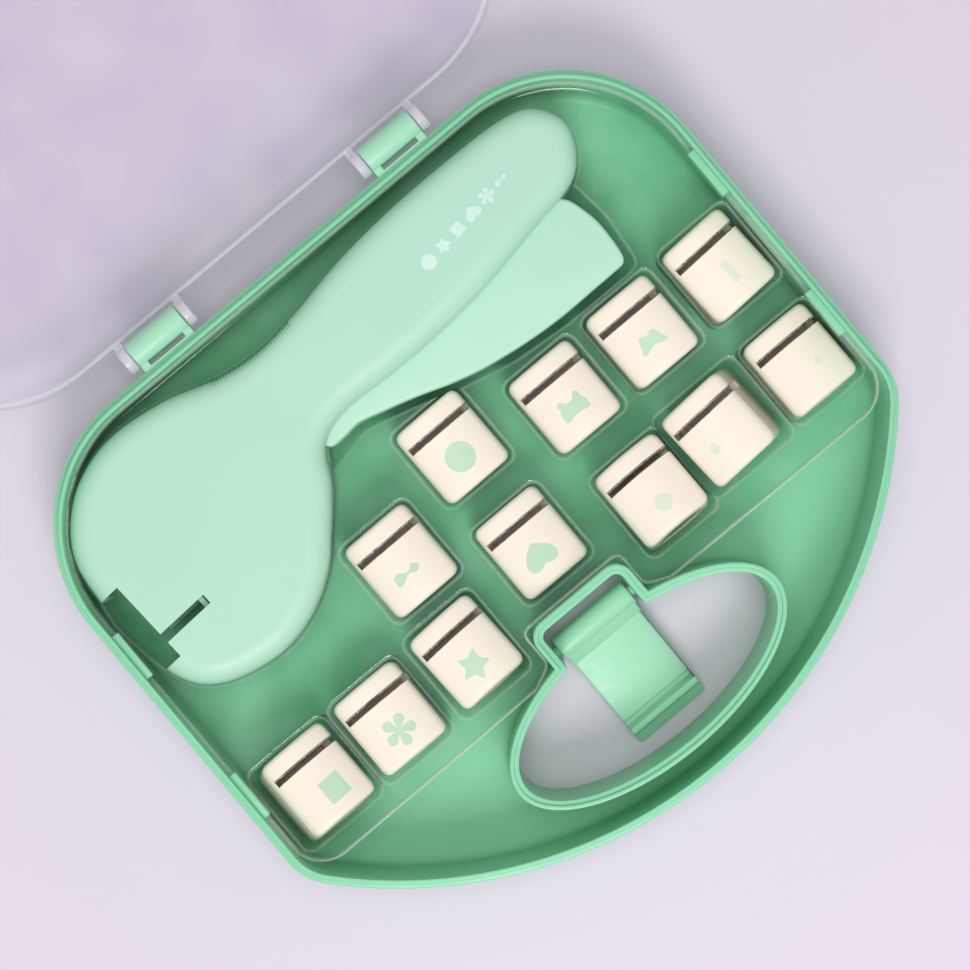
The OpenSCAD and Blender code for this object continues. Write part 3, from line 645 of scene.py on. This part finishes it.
def pillow_height(depth, side, rise):
    """Height over the parting plane, d inside the edge: side + rise (1 - (1 - d/D)^p)^(1/p)."""
    share = np.clip(1 - np.asarray(depth, float) / SOFT_EDGE, 0, 1)
    return side + rise * (1 - share**PILLOW_POWER) ** (1 / PILLOW_POWER)


def tool_ring(depth, height, ribs=0.0):
    """The tool's curve moved in by depth, plus the rib wave where ribs is over zero."""
    return lift(inset(tool_line, depth + RIB_DEPTH * ribs * rib_wave), height)


def half_shell():
    """Closed half shell: inner skin down to the parting plane, out, and up the outer skin to its crown."""
    depths = SOFT_EDGE * (1 - np.cos(np.linspace(0, np.pi / 2, 17))) ** 0.9
    inner = [tool_ring(SHELL_WALL + 0.6 * d, pillow_height(d, 8.7, SHELL_ROOF - 8.7)) for d in depths[::-3]]
    parting = [tool_ring(SHELL_WALL, 0.0), tool_ring(0.3, 0.0, 1.0), tool_ring(0.06, 0.06, 1.0),
               tool_ring(0.0, 0.3, 1.0)]
    outer = [tool_ring(d, pillow_height(d, SIDE_HALF, TOOL_HALF - SIDE_HALF),
                       max(0.0, 1 - d / 2.2)) for d in depths]
    return skin(np.stack(inner + parting + outer), caps=(True, True))


# %% Cut the nose notch, the paper slit and the lever opening
NOSE, NOSE_TURN, NOTCH_HALF, SLIT_Y = (-89.8, 37.9), 3.0, 12.3, -5.95


def nose_block(x0, x1, y0, y1, low=-1.0, high=18.0, edge=0.12):
    """A block in the nose's own turned frame."""
    return moved(pillow(rectangle(x0, x1, y0, y1), low, high, edge, 1), yaw=NOSE_TURN, shift=(*NOSE, 0))


lever_gap = np.array([[-27.4, 24], [72.6, 20], [72.6, 47], [71.6, 57], [66.8, 58.8], [-22.6, 56],
                      [-27.4, 48]], float)
knives = [nose_block(-20, 0, -NOTCH_HALF, NOTCH_HALF), nose_block(-1, 15.3, SLIT_Y - 1.45, SLIT_Y + 1.45),
          pillow(lever_gap, -1.0, 8.6, 0.1, 1)]
shell_mesh = cut(half_shell(), knives, 30)
shell_points = points_mm(shell_mesh)
shell_faces = [list(f.vertices) for f in shell_mesh.polygons]
screw_spots = np.array([[-57, 71.6], [-49, 23.8], [-13, 67.5], [61, 71.6]])
top_shell = (shell_points + (0, 0, TOOL_MIDDLE + 0.05), shell_faces)
piece("tool_shell_upper", top_shell, "tool", tool_plastic, ["tool_shell_top"], 30)
under = (shell_points * (1, 1, -1), [face[::-1] for face in shell_faces])
wells = [pillow(circle(spot, 2.6, 24), -20, -6, 0.1, 1) for spot in screw_spots]
under_mesh = cut(under, wells, 30)
under_mesh.transform(Matrix.Translation((0, 0, (TOOL_MIDDLE - 0.05) * MM)))
piece("tool_shell_under", under_mesh, "tool", tool_plastic, ["tool_shell_bottom"])

# %% [markdown]
# Inside the shells are the walls that guide a head in the nose, and the tubes that the
# screws go through. They show through the notch, the slit and the screw wells.

# %% Nose walls and screw tubes
def tube(spot, outer, bore, well, low, step, high):
    """A tube with a narrow bore up to `step` and a wide well beyond it, as one closed stack."""
    rows = [(outer, low), (outer, high), (well, high), (well, step), (bore, step), (bore, low)]
    return skin(np.stack([lift(circle(spot, r), z) for r, z in rows]), closed=True)


nose_walls = [moved(pillow(rectangle(*sides), TOOL_MIDDLE - 11.2, TOOL_MIDDLE + 11.2, 0.3), yaw=NOSE_TURN,
                    shift=(*NOSE, 0))
              for sides in ((0.4, 14.6, -13.9, -12.35), (13.05, 14.6, -12.3, 3.1))]
tubes = [moved(tube(spot, 3.4, 1.3, 2.6, -0.2, 6.0, 12.6), roll=180, about=(spot[0], 0, 0),
               shift=(0, 0, TOOL_MIDDLE - 0.3))
         for spot in screw_spots]
piece("tool_inner_walls", together(*nose_walls, *tubes), "tool", tool_plastic)

# %% [markdown]
# ### The lever
# The lever is one moulding: the part that the fingers pull, as thick as the gap in the
# shells, and a thinner arm that reaches past the pin to the striker.

# %% Lever
LEVER_GRIP = [[67.4, 30.3], [68.7, 33.5], [69.1, 42.3], [68.0, 48.6], [66.3, 53.0], [62.6, 56.0],
              [54.0, 56.9], [39.3, 56.7], [9.8, 54.7], [-11.8, 54.5], [-18.0, 54.6], [-22.6, 53.2],
              [-24.9, 49.6], [-25.2, 45.6], [-23.6, 42.6], [-19.2, 42.4], [-13.9, 42.8], [-7.8, 41.2],
              [0, 39], [6, 37], [12.1, 34.9], [20.1, 32.7], [28.2, 31.3], [36.3, 30.3], [46.3, 29.7],
              [56.4, 29.8], [64.4, 29.9]]
LEVER_ARM = [[-21.0, 46.5], [-20.6, 54.5], [-22.6, 58.6], [-31.4, 63.6], [-49.1, 65.0], [-70.6, 64.2],
             [-75.4, 62.4], [-75.4, 58.9], [-54.9, 56.3], [-43.2, 52.4], [-35.3, 50.0], [-27.5, 47.5]]
PIVOT, SPRING_X = (-33.4, 56.6), 2.0
grip = pillow(smooth_ring(LEVER_GRIP, 6), TOOL_MIDDLE - 8, TOOL_MIDDLE + 8, 1.0, 4)
arm = pillow(smooth_ring(LEVER_ARM, 5), TOOL_MIDDLE - 5, TOOL_MIDDLE + 5, 0.8)
pin_hole = pillow(circle(PIVOT, 2.56), 0, 36, 0.1, 1)
spring_seat = moved(pillow(circle((0, 0), 4.6), 0, 10, 0.1, 1), pitch=-90,
                    shift=(SPRING_X, 50, TOOL_MIDDLE))
grip_mesh = cut(grip, [spring_seat])
piece("lever_grip", grip_mesh, "lever", lever_plastic, ["lever"])
piece("lever_arm", cut(arm, [pin_hole]), "lever", lever_plastic)

# %% [markdown]
# ## The punch heads
# All twelve heads share one housing: a block with rounded edges whose front bulges like a
# slice of a wide cylinder. It is made once in its own frame, cut once for the paper slot,
# the dies and the plunger bore, and then copied into its pocket by a turn and a shift of
# all its points. Heads that lean in their pockets simply have another turn.

# %% One housing in its own frame
HEAD_X, HEAD_Y, HEAD_DEPTH, HEAD_BULGE, AXIS = 10.6, 12.0, 20.5, 3.4, 10.2
SLOT_LOW, SLOT_HIGH = 4.9, 7.0
BULGE_RADIUS = (HEAD_X**2 + HEAD_BULGE**2) / (2 * HEAD_BULGE)


def front_height(x):
    """Height of the bulging front: depth - (R - root(R^2 - x^2))."""
    return HEAD_DEPTH - (BULGE_RADIUS - np.sqrt(BULGE_RADIUS**2 - np.asarray(x, float) ** 2))


def housing_block():
    """Foot with a small round, upright sides, a 1.5 mm round, then front rings that shrink inwards."""
    line = thick_sides(round_corners(rectangle(-HEAD_X, HEAD_X, -HEAD_Y, HEAD_Y), 2.6, 9), 1.6)
    rings = [lift(inset(line, 0.9), 0.0), lift(inset(line, 0.26), 0.26), lift(line, 0.9), lift(line, 8.0)]
    for a in np.linspace(0, np.pi / 2, 7):
        edge = inset(line, 1.5 * (1 - np.cos(a)))
        rings.append(lift(edge, front_height(edge[:, 0]) - 1.5 * (1 - np.sin(a))))
    for share in (0.9, 0.78, 0.64, 0.5, 0.36, 0.22, 0.08):
        edge = inset(line, 1.5) * share
        rings.append(lift(edge, front_height(edge[:, 0])))
    return skin(np.stack(rings), caps=(True, True))


def along_y(part):
    """Turns a block made in (u, v, w) so that u is Z, v is X and w is Y."""
    return part[0][:, [1, 2, 0]], part[1]


def rod(radius, start, end):
    """A round knife on the punching axis."""
    return along_y(pillow(circle((AXIS, 0), radius), start, end, 0.08, 1))


housing_knives = [pillow(rectangle(-9.6, 14, SLOT_LOW, SLOT_HIGH), 6, 26, 0.1, 1),
                  pillow(rectangle(-8.4, 8.4, 3.9, 8.2), 3.4, 17, 0.05, 1),
                  rod(7.6, -14, -1.5), rod(4.7, -2, 4.4), rod(4.94, 7.5, 14)]
housing_mesh = cut(housing_block(), housing_knives, 32)
print("housing:", len(housing_mesh.polygons), "faces")

# %% [markdown]
# ### Slot plates
# At the mouth of the slot two ground plates catch the light. Each is a thin strip whose
# upper edge follows the bulge a little below it.

# %% Slot plates
def slot_plate(y0, y1, drop):
    """A strip across the slot from z = 15.3 up to the bulge less `drop`."""
    x = np.linspace(-9.45, 10.2, 15)
    line = np.concatenate([np.column_stack([front_height(x) - drop, x]), [[15.3, 10.2], [15.3, -9.45]]])
    return along_y(pillow(line, y0, y1, 0.05, 1))


plates = together(slot_plate(6.5, 6.98, 0.5), slot_plate(4.92, 5.2, 1.3))

# %% [markdown]
# ### Printed shapes
# Each front carries the shape that the head punches, printed in mint. A shape is a closed
# line, most of them a distance that depends on the direction. The inside is filled with
# triangles by a Delaunay triangulation and laid on the bulge as a film, a twentieth of a
# millimetre proud, with a skirt that goes down into the front.

# %% Outlines of the printed shapes
turn = np.radians(np.arange(0, 360, 3))


def polar(radius, squash=1.0):
    """Points at a distance in each direction, flattened across by `squash`."""
    return np.column_stack([radius * np.cos(turn), squash * radius * np.sin(turn)])


def petals(count, reach, size, start):
    """Union of circles at distance c: r = c cos f + root(size^2 - c^2 sin^2 f), largest of all petals."""
    f = turn[None, :] - np.radians(start + 360 / count * np.arange(count))[:, None]
    root = size**2 - (reach * np.sin(f)) ** 2
    hit = np.where((root > 0) & (np.cos(f) > 0), reach * np.cos(f) + np.sqrt(np.maximum(root, 0)), 0)
    return np.maximum(hit.max(0), 1.5)


def spikes(count, outer, inner, start):
    """A star line: straight edges between far and near corners."""
    k = np.arange(2 * count)
    r = np.where(k % 2 == 0, outer, inner)
    a = np.radians(start + 180 / count * k)
    return np.column_stack([r * np.cos(a), r * np.sin(a)])


def heart_line(width, height):
    """x = w sin|sin|^0.8 and y = h (11 cos t - 3 cos 2t - 1.2 cos 3t - 0.4 cos 4t) + 0.6, upside down."""
    waves = sum(part * np.cos(k * turn) for k, part in ((1, 11), (2, -3), (3, -1.2), (4, -0.4)))
    side = width * np.sign(np.sin(turn)) * np.abs(np.sin(turn)) ** 1.8
    return -np.column_stack([side, height * waves + 0.6])


def mirrored(half):
    """A closed line from its right half, listed from the bottom middle to the top middle."""
    half = np.array(half, float)
    return np.concatenate([half, half[-2:0:-1] * (-1, 1)])


SHAPES = {
    "square": round_corners(rectangle(-3.3, 3.3, -3.4, 3.4), 0.35, 4),
    "flower": polar(petals(5, 3.2, 1.5, -90)),
    "star": round_corners(spikes(5, 4.7, 2.5, -90), 0.5, 4),
    "bow": round_corners([[-4.1, 1.3], [-4.3, -1.9], [-2.2, -1.5], [-0.6, -0.35], [0.6, -0.3],
                          [2.0, -1.3], [4.1, 0.1], [2.1, 1.7], [0.6, 0.3], [-0.6, 0.45],
                          [-2.1, 1.7]], 0.6, 4),
    "heart": heart_line(4.7, 0.33),
    "circle": polar(np.full(len(turn), 4.2)),
    "bear": round_corners(mirrored([[0, -2.3], [1.6, -2.2], [3.0, -2.9], [4.2, -2.5], [4.0, 0.2],
                                    [3.2, 1.4], [3.7, 2.6], [2.5, 3.4], [1.7, 2.6], [1.2, 1.7],
                                    [0, 1.6]]), 0.7, 4),
    "butterfly": round_corners(mirrored([[0, -1.2], [1.5, -1.7], [3.2, -2.4], [4.4, -2.0],
                                         [3.3, -0.4], [3.0, 1.4], [2.2, 2.7], [1.0, 2.3],
                                         [0, 1.7]]), 0.8, 4),
    "bar": round_corners(rectangle(-1.15, 1.15, -3.3, 3.3), 0.4, 4),
    "disc": polar(np.full(len(turn), 2.55)),
    "dot": polar(np.full(len(turn), 1.45)),
    "pinhole": polar(np.full(len(turn), 0.95)),
}


def anticlockwise(line):
    """The line, turned round if its area 1/2 sum(x y' - x' y) is negative."""
    after = np.roll(line, -1, 0)
    return line if (line[:, 0] * after[:, 1] - after[:, 0] * line[:, 1]).sum() > 0 else line[::-1]


def inside(points, line):
    """Even-odd test: how many sides of the line a ray to the right crosses."""
    a, b = line[None], np.roll(line, -1, 0)[None]
    x, y = points[:, :1], points[:, 1:]
    spans = (a[..., 1] > y) != (b[..., 1] > y)
    with np.errstate(divide="ignore", invalid="ignore"):
        at = a[..., 0] + (y - a[..., 1]) * (b[..., 0] - a[..., 0]) / (b[..., 1] - a[..., 1])
    return (spans & (x < at)).sum(1) % 2 == 1


def triangulate(points, sides, outline, mode, gap):
    """Points and Delaunay triangles that keep the given sides, those outside the outline left out."""
    found = delaunay_2d_cdt([tuple(p) for p in points], sides, [], mode, gap)
    points, tris = np.array([tuple(v) for v in found[0]]), np.array([list(f) for f in found[2]])
    return points, tris[inside(points[tris].mean(1), outline)]


def film(line, height, proud, below, mesh_gap=0.9):
    """A closed film: the filled line at height + proud, its copy at height - below, and a skirt between."""
    line = anticlockwise(thick_sides(line, mesh_gap))
    low, high = line.min(0), line.max(0)
    across, along = (np.arange(low[i], high[i], mesh_gap) for i in (0, 1))
    grid = np.stack(np.meshgrid(across, along), -1).reshape(-1, 2)
    grid = grid[inside(grid, line)]
    if len(grid):
        near = np.linalg.norm(grid[:, None] - line[None], axis=2).min(1)
        grid = grid[near > 0.35 * mesh_gap]
    flat = np.concatenate([line, grid])
    n = len(line)
    points, tris = triangulate(flat, [(i, (i + 1) % n) for i in range(n)], line, 1, 1e-6)
    top = np.column_stack([points, height(points) + proud])
    bottom = np.column_stack([points, height(points) - below])
    m = len(points)
    ring = np.arange(n)
    skirt = np.stack([ring + m, (ring + 1) % n + m, (ring + 1) % n, ring], -1)
    return np.concatenate([top, bottom]), tris.tolist() + (tris[:, ::-1] + m).tolist() + skirt.tolist()


# %% Every head into its pocket
MARK_SHIFT = {"square": (1.4, -4.6), "flower": (0.35, -4.2), "star": (-0.8, -4.2), "bow": (-0.5, -3.6),
              "heart": (-0.4, -3.9), "bar": (1.0, -3.2), "disc": (0.3, -5.0), "dot": (-3.1, -3.2),
              "pinhole": (3.2, -3.2)}
HEADS = [("square", -84.9, -23.5, 14, -5, 0), ("flower", -58.6, -23.3, 0, -4, 0),
         ("star", -31.6, -22.9, 2, -5, 2), ("bow", -29.2, 7.4, 0, 0, 0.5),
         ("heart", 0.6, -11.4, 0, -2, 0), ("circle", 0.9, 22, 0, 0, 0.5), ("bear", 32.5, 12.9, 0, 0, 0),
         ("butterfly", 59.6, 12.9, 0, 0, 0), ("bar", 86.7, 13.3, 0, 0, 2.5),
         ("disc", 34.2, -21.9, 0, -8, 0), ("dot", 59.6, -20.4, -15, -3, 3.5),
         ("pinhole", 87, -20.4, 0, -4, 0)]
REST = 2.7


def seated(part, x, y, roll, pitch, yaw):
    """The part turned about a point 10 mm up its axis, its lowest corner resting in the pocket."""
    r, p = math.radians(roll), math.radians(pitch)
    z = REST + 10 * math.cos(r) * math.cos(p) + HEAD_X * abs(math.sin(r)) + HEAD_Y * abs(math.sin(p))
    return moved((part[0] - (0, 0, 10), part[1]), (x, y, z), roll, pitch, yaw)


housing_points = points_mm(housing_mesh)
for kind, *seat in HEADS:
    copy = housing_mesh.copy()
    copy.vertices.foreach_set("co", (seated((housing_points, None), *seat)[0] * MM).ravel())
    copy.update()
    body = f"{kind}_head"
    piece(f"{kind}_housing", copy, body, head_plastic, [f"{kind}_head_housing"])
    piece(f"{kind}_slot_plates", seated(plates, *seat), body, die_steel)
    mark = film(SHAPES[kind] + MARK_SHIFT.get(kind, (0, -3.4)), lambda p: front_height(p[:, 0]), 0.05, 0.08)
    piece(f"{kind}_mark", seated(mark, *seat), body,
          faint_ink if kind in ("bar", "disc", "dot", "pinhole") else shape_ink)

# %% [markdown]
# ## Marks on the handle
# The handle carries a light printed line. They are films again, laid on the pillow of the
# shell, whose height depends on how far a point is inside the tool's edge.

# %% Row of small shapes
def distance_to(points, line):
    """Shortest distance from each point to the sides of a closed line, by clamped projection."""
    a = line[None]
    ab = np.roll(line, -1, 0)[None] - a
    ap = points[:, None] - a
    t = np.clip((ap * ab).sum(2) / (ab * ab).sum(2), 0, 1)
    return np.linalg.norm(ap - t[..., None] * ab, axis=2).min(1)


def shell_top(points):
    """Height of the upper shell over a point of the plan."""
    rise = pillow_height(distance_to(points, plain_line), SIDE_HALF, TOOL_HALF - SIDE_HALF)
    return TOOL_MIDDLE + 0.05 + rise


row = []
for n, kind in enumerate(("circle", "star", "square", "heart", "flower", "bow")):
    small = SHAPES[kind] * 0.5
    a = math.radians(9)
    small = small @ np.array([[math.cos(a), math.sin(a)], [-math.sin(a), math.cos(a)]])
    row.append(film(small + (27.5 + 5.7 * n, 63.0 + 0.9 * n), shell_top, 0.05, 0.08, 0.6))
piece("handle_shape_row", together(*row), "tool", white_ink)

# %% [markdown]
# ## The insert tray
# The tray is one clear sheet pressed over a mould. Seen from above it is a height map: a
# flat face, deep pockets, and a lip round the edge. The height at a point depends only on
# its distance to the nearest pocket edge and to the tray's own edge. Lines at chosen
# distances are put into a triangulation, so that every round and every steep wall gets its
# own rows of triangles. A Solidify then gives the sheet its thickness.

# %% Pocket lines and the height map
FACE, SHEET, POCKET = 22.5, 0.42, 19.85
WALL_AT = np.array([-1.3, -0.75, -0.45, -0.1, 0.05, 0.3, 0.8, 1.4])
WALL_HEIGHT = np.array([-1.0, -0.975, -0.925, -0.08, -0.035, -0.011, -0.0015, 0.0]) * POCKET
LIP_AT = np.array([0.0, 0.3, 0.5, 0.9, 1.6])
LIP_HEIGHT = np.array([4.5, 1.2, 0.5, 0.1, 0.0])


def tray_line(d):
    """The tray's edge moved in by d: side corners, hinge corners and the step round the latch notch."""
    x, low = 99.75 - d, -42 + d
    nx, ny = 16.7 + d, -27.7 + d
    step = [[-nx - 8, low], [-nx - 4, low + 1.6], [-nx, low + 3.4], [-nx, ny],
            [nx, ny], [nx, low + 3.4], [nx + 4, low + 1.6], [nx + 8, low]]
    step = round_corners(step, [2.5, 2, 2, 2.4, 2.4, 2, 2, 2.5], 6)
    return np.concatenate([arc((x - 10, low + 10), 10, -90, 0, 12),
                           arc((60.5, 46.7), 39.25 - d, 0, 90, 36),
                           arc((-60.5, 46.7), 39.25 - d, 90, 180, 36),
                           arc((10 - x, low + 10), 10, 180, 270, 12), step[3:-3]])


pocket_boxes = []
for kind, x, y, roll, pitch, yaw in HEADS:
    r, p, w = (abs(math.sin(math.radians(v))) for v in (roll, pitch, yaw))
    wide = max(23.4, 21.2 * math.cos(math.radians(roll)) + 20.5 * r + 24 * w + 0.7)
    tall = max(25.6, 24 * math.cos(math.radians(pitch)) + 20.5 * p + 21.2 * w + 0.8)
    pocket_boxes.append((x, y, wide / 2, tall / 2))
POCKET_CORNER = 2.6


def pocket_line(box, d):
    """A pocket's edge moved out by d."""
    x, y, w, t = box
    r = POCKET_CORNER + d
    corners = [arc((x + a * (w - POCKET_CORNER), y + b * (t - POCKET_CORNER)), r, s, s + 90, 7)
               for a, b, s in ((1, 1, 0), (-1, 1, 90), (-1, -1, 180), (1, -1, 270))]
    return np.concatenate(corners)


tool_hollow = inset(plain_line, -0.5)
lever_hollow = round_corners([[-29.4, 37.4], [-21.6, 39.2], [-14, 40.6], [0, 36.8], [12, 32.8],
                              [28, 29], [46, 27.4], [70.2, 27.4], [71.8, 43.4], [69.8, 59],
                              [0, 59], [-29.4, 49.4]], 3, 5)


def pocket_distance(points):
    """Signed distance to the nearest pocket edge, negative inside: boxes by formula, the tool by its line."""
    best = np.full(len(points), 1e3)
    for x, y, w, t in pocket_boxes:
        q = np.abs(points - (x, y)) - (w - POCKET_CORNER, t - POCKET_CORNER)
        beyond, within = np.linalg.norm(np.maximum(q, 0), axis=1), np.minimum(q.max(1), 0)
        best = np.minimum(best, beyond + within - POCKET_CORNER)
    for line in (tool_hollow, lever_hollow):
        away = distance_to(points, line)
        best = np.minimum(best, np.where(inside(points, line), -away, away))
    return best


def tray_height(points):
    """Face + lip + pocket, the pocket fading where the lip rises; the face dips a little by the notch."""
    edge = distance_to(points, tray_line(0.0))
    lip = np.interp(edge, LIP_AT, LIP_HEIGHT)
    well = np.interp(pocket_distance(points), WALL_AT, WALL_HEIGHT)
    slope = 1.1 * np.exp(-(((points[:, 0] - 30) / 9) ** 2)) * np.clip((-33.5 - points[:, 1]) / 7, 0, 1)
    return FACE + lip + well * (1 - lip / LIP_HEIGHT[0]) - slope * (well > -0.2) * (1 - lip / LIP_HEIGHT[0])


# %% Triangulate and thicken the tray
lines = [tray_line(d) for d in LIP_AT]
for d in WALL_AT:
    lines += [pocket_line(box, d) for box in pocket_boxes]
    lines += [inset(tool_hollow, -d), inset(lever_hollow, -d)]
lines = [line if k < len(LIP_AT) else thick_sides(line, 2.5) for k, line in enumerate(lines)]
edge_line = tray_line(0.0)
kept, sides, count = [], [], 0
for line in lines:
    kept.append(line)
    sides += [(count + i, count + (i + 1) % len(line)) for i in range(len(line))]
    count += len(line)
field = np.stack(np.meshgrid(np.arange(-98, 98, 5.0), np.arange(-40, 86, 5.0)), -1).reshape(-1, 2)
kept.append(field[inside(field, tray_line(2.2))])
plan, tris = triangulate(np.concatenate(kept), sides, edge_line, 0, 1e-4)
used = np.unique(tris)
renumber = np.zeros(len(plan), int)
renumber[used] = np.arange(len(used))
plan, tris = plan[used], renumber[tris]
tray_mesh = mesh_of("tray", (np.column_stack([plan, tray_height(plan)]), tris.tolist()), 80)
edge_far, well_far = distance_to(plan, edge_line), pocket_distance(plan)
# Painted highlight: a milky white line along the tray's edge and round each pocket rim, standing in for light
# caught there.
tray_edge_highlight = np.where(edge_far < 0.35, 0.6, 0.0) + 0.38 * np.exp(-(((well_far - 0.1) / 0.25) ** 2))
mark_painted_edge_highlight(tray_mesh, tray_edge_highlight)
blank = placed("blank", tray_mesh)
thick = blank.modifiers.new("sheet", "SOLIDIFY")
thick.thickness, thick.offset, thick.use_even_offset = SHEET * MM, -1, False
piece("tray_clear_insert", modified(blank), "case", tray_plastic, ["insert_tray"])

# %% [markdown]
# ## Steel from the CAD model
# The dies, punches, springs, pins and screws are shown as the CAD model has them. They are
# already right, so they only get a finish: ground steel for what cuts, bright drawn steel
# for the rest.

# %% Finishes for the CAD nodes that stay
for name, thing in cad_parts.items():
    if thing.hide_render:
        continue
    thing.data.materials.clear()
    thing.data.materials.append(die_steel if name.endswith(("dies", "striker")) else bright_steel)
    soften(thing.data, 35)
print("CAD nodes shown:", sorted(n for n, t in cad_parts.items() if not t.hide_render))

# %% [markdown]
# ## Table and light
# The table is a plain sheet of pale card. One soft light stands on the handle side, as a
# window would, a second hangs overhead, and an even sky fills the shadows.

# %% Table
card, tree, output, place = new_finish("pale_card")
shader = tree.nodes.new("ShaderNodeBsdfPrincipled")
tree.links.new(two_tone(tree, spread(tree, noise(tree, place, 3), 0, 1), srgb(223, 213, 226),
                        srgb(226, 216, 229)), shader.inputs["Base Color"])
tree.links.new(spread(tree, noise(tree, place, 900, 3), 0.85, 0.95), shader.inputs["Roughness"])
shader.inputs["Specular IOR Level"].default_value = 0.2
tree.links.new(shader.outputs[0], output.inputs["Surface"])
TABLE_HEIGHT, TABLE_REACH = -0.05, (4, 400, 1500, 4000)
table_rings = np.stack([lift(circle((0, 40), r), TABLE_HEIGHT) for r in TABLE_REACH])
table_mesh = mesh_of("table", skin(table_rings, caps=(True, False)))
table_mesh.flip_normals()
table_mesh.materials.append(card)
placed("table", table_mesh)


# %% Lights
def soft_light(name, size, power, place, aim, mirrored=True):
    """A square area light facing `aim`, in metres; not mirrored, it leaves no veil on clear sheet."""
    lamp = bpy.data.lights.new(name, "AREA")
    lamp.shape, lamp.size, lamp.energy = "SQUARE", size, power
    thing = placed(name, lamp)
    thing.location = place
    back = np.array(place) - np.array(aim)
    thing.rotation_mode = "QUATERNION"
    thing.rotation_quaternion = Vector(back).to_track_quat("Z", "Y")
    thing.visible_glossy = mirrored


soft_light("window_light", 0.42, 6.0, (-0.30, -0.55, 1.05), (0, 0, 0))
soft_light("ceiling_light", 0.6, 7.0, (0.0, 0.02, 1.5), (0, 0, 0), mirrored=False)
world = bpy.data.worlds.new("studio")
bpy.context.scene.world = world
world.use_nodes = True
world.node_tree.nodes["Background"].inputs["Color"].default_value = (0.97, 0.96, 1.0, 1)
world.node_tree.nodes["Background"].inputs["Strength"].default_value = 0.43
bpy.context.scene.view_settings.view_transform = "Standard"
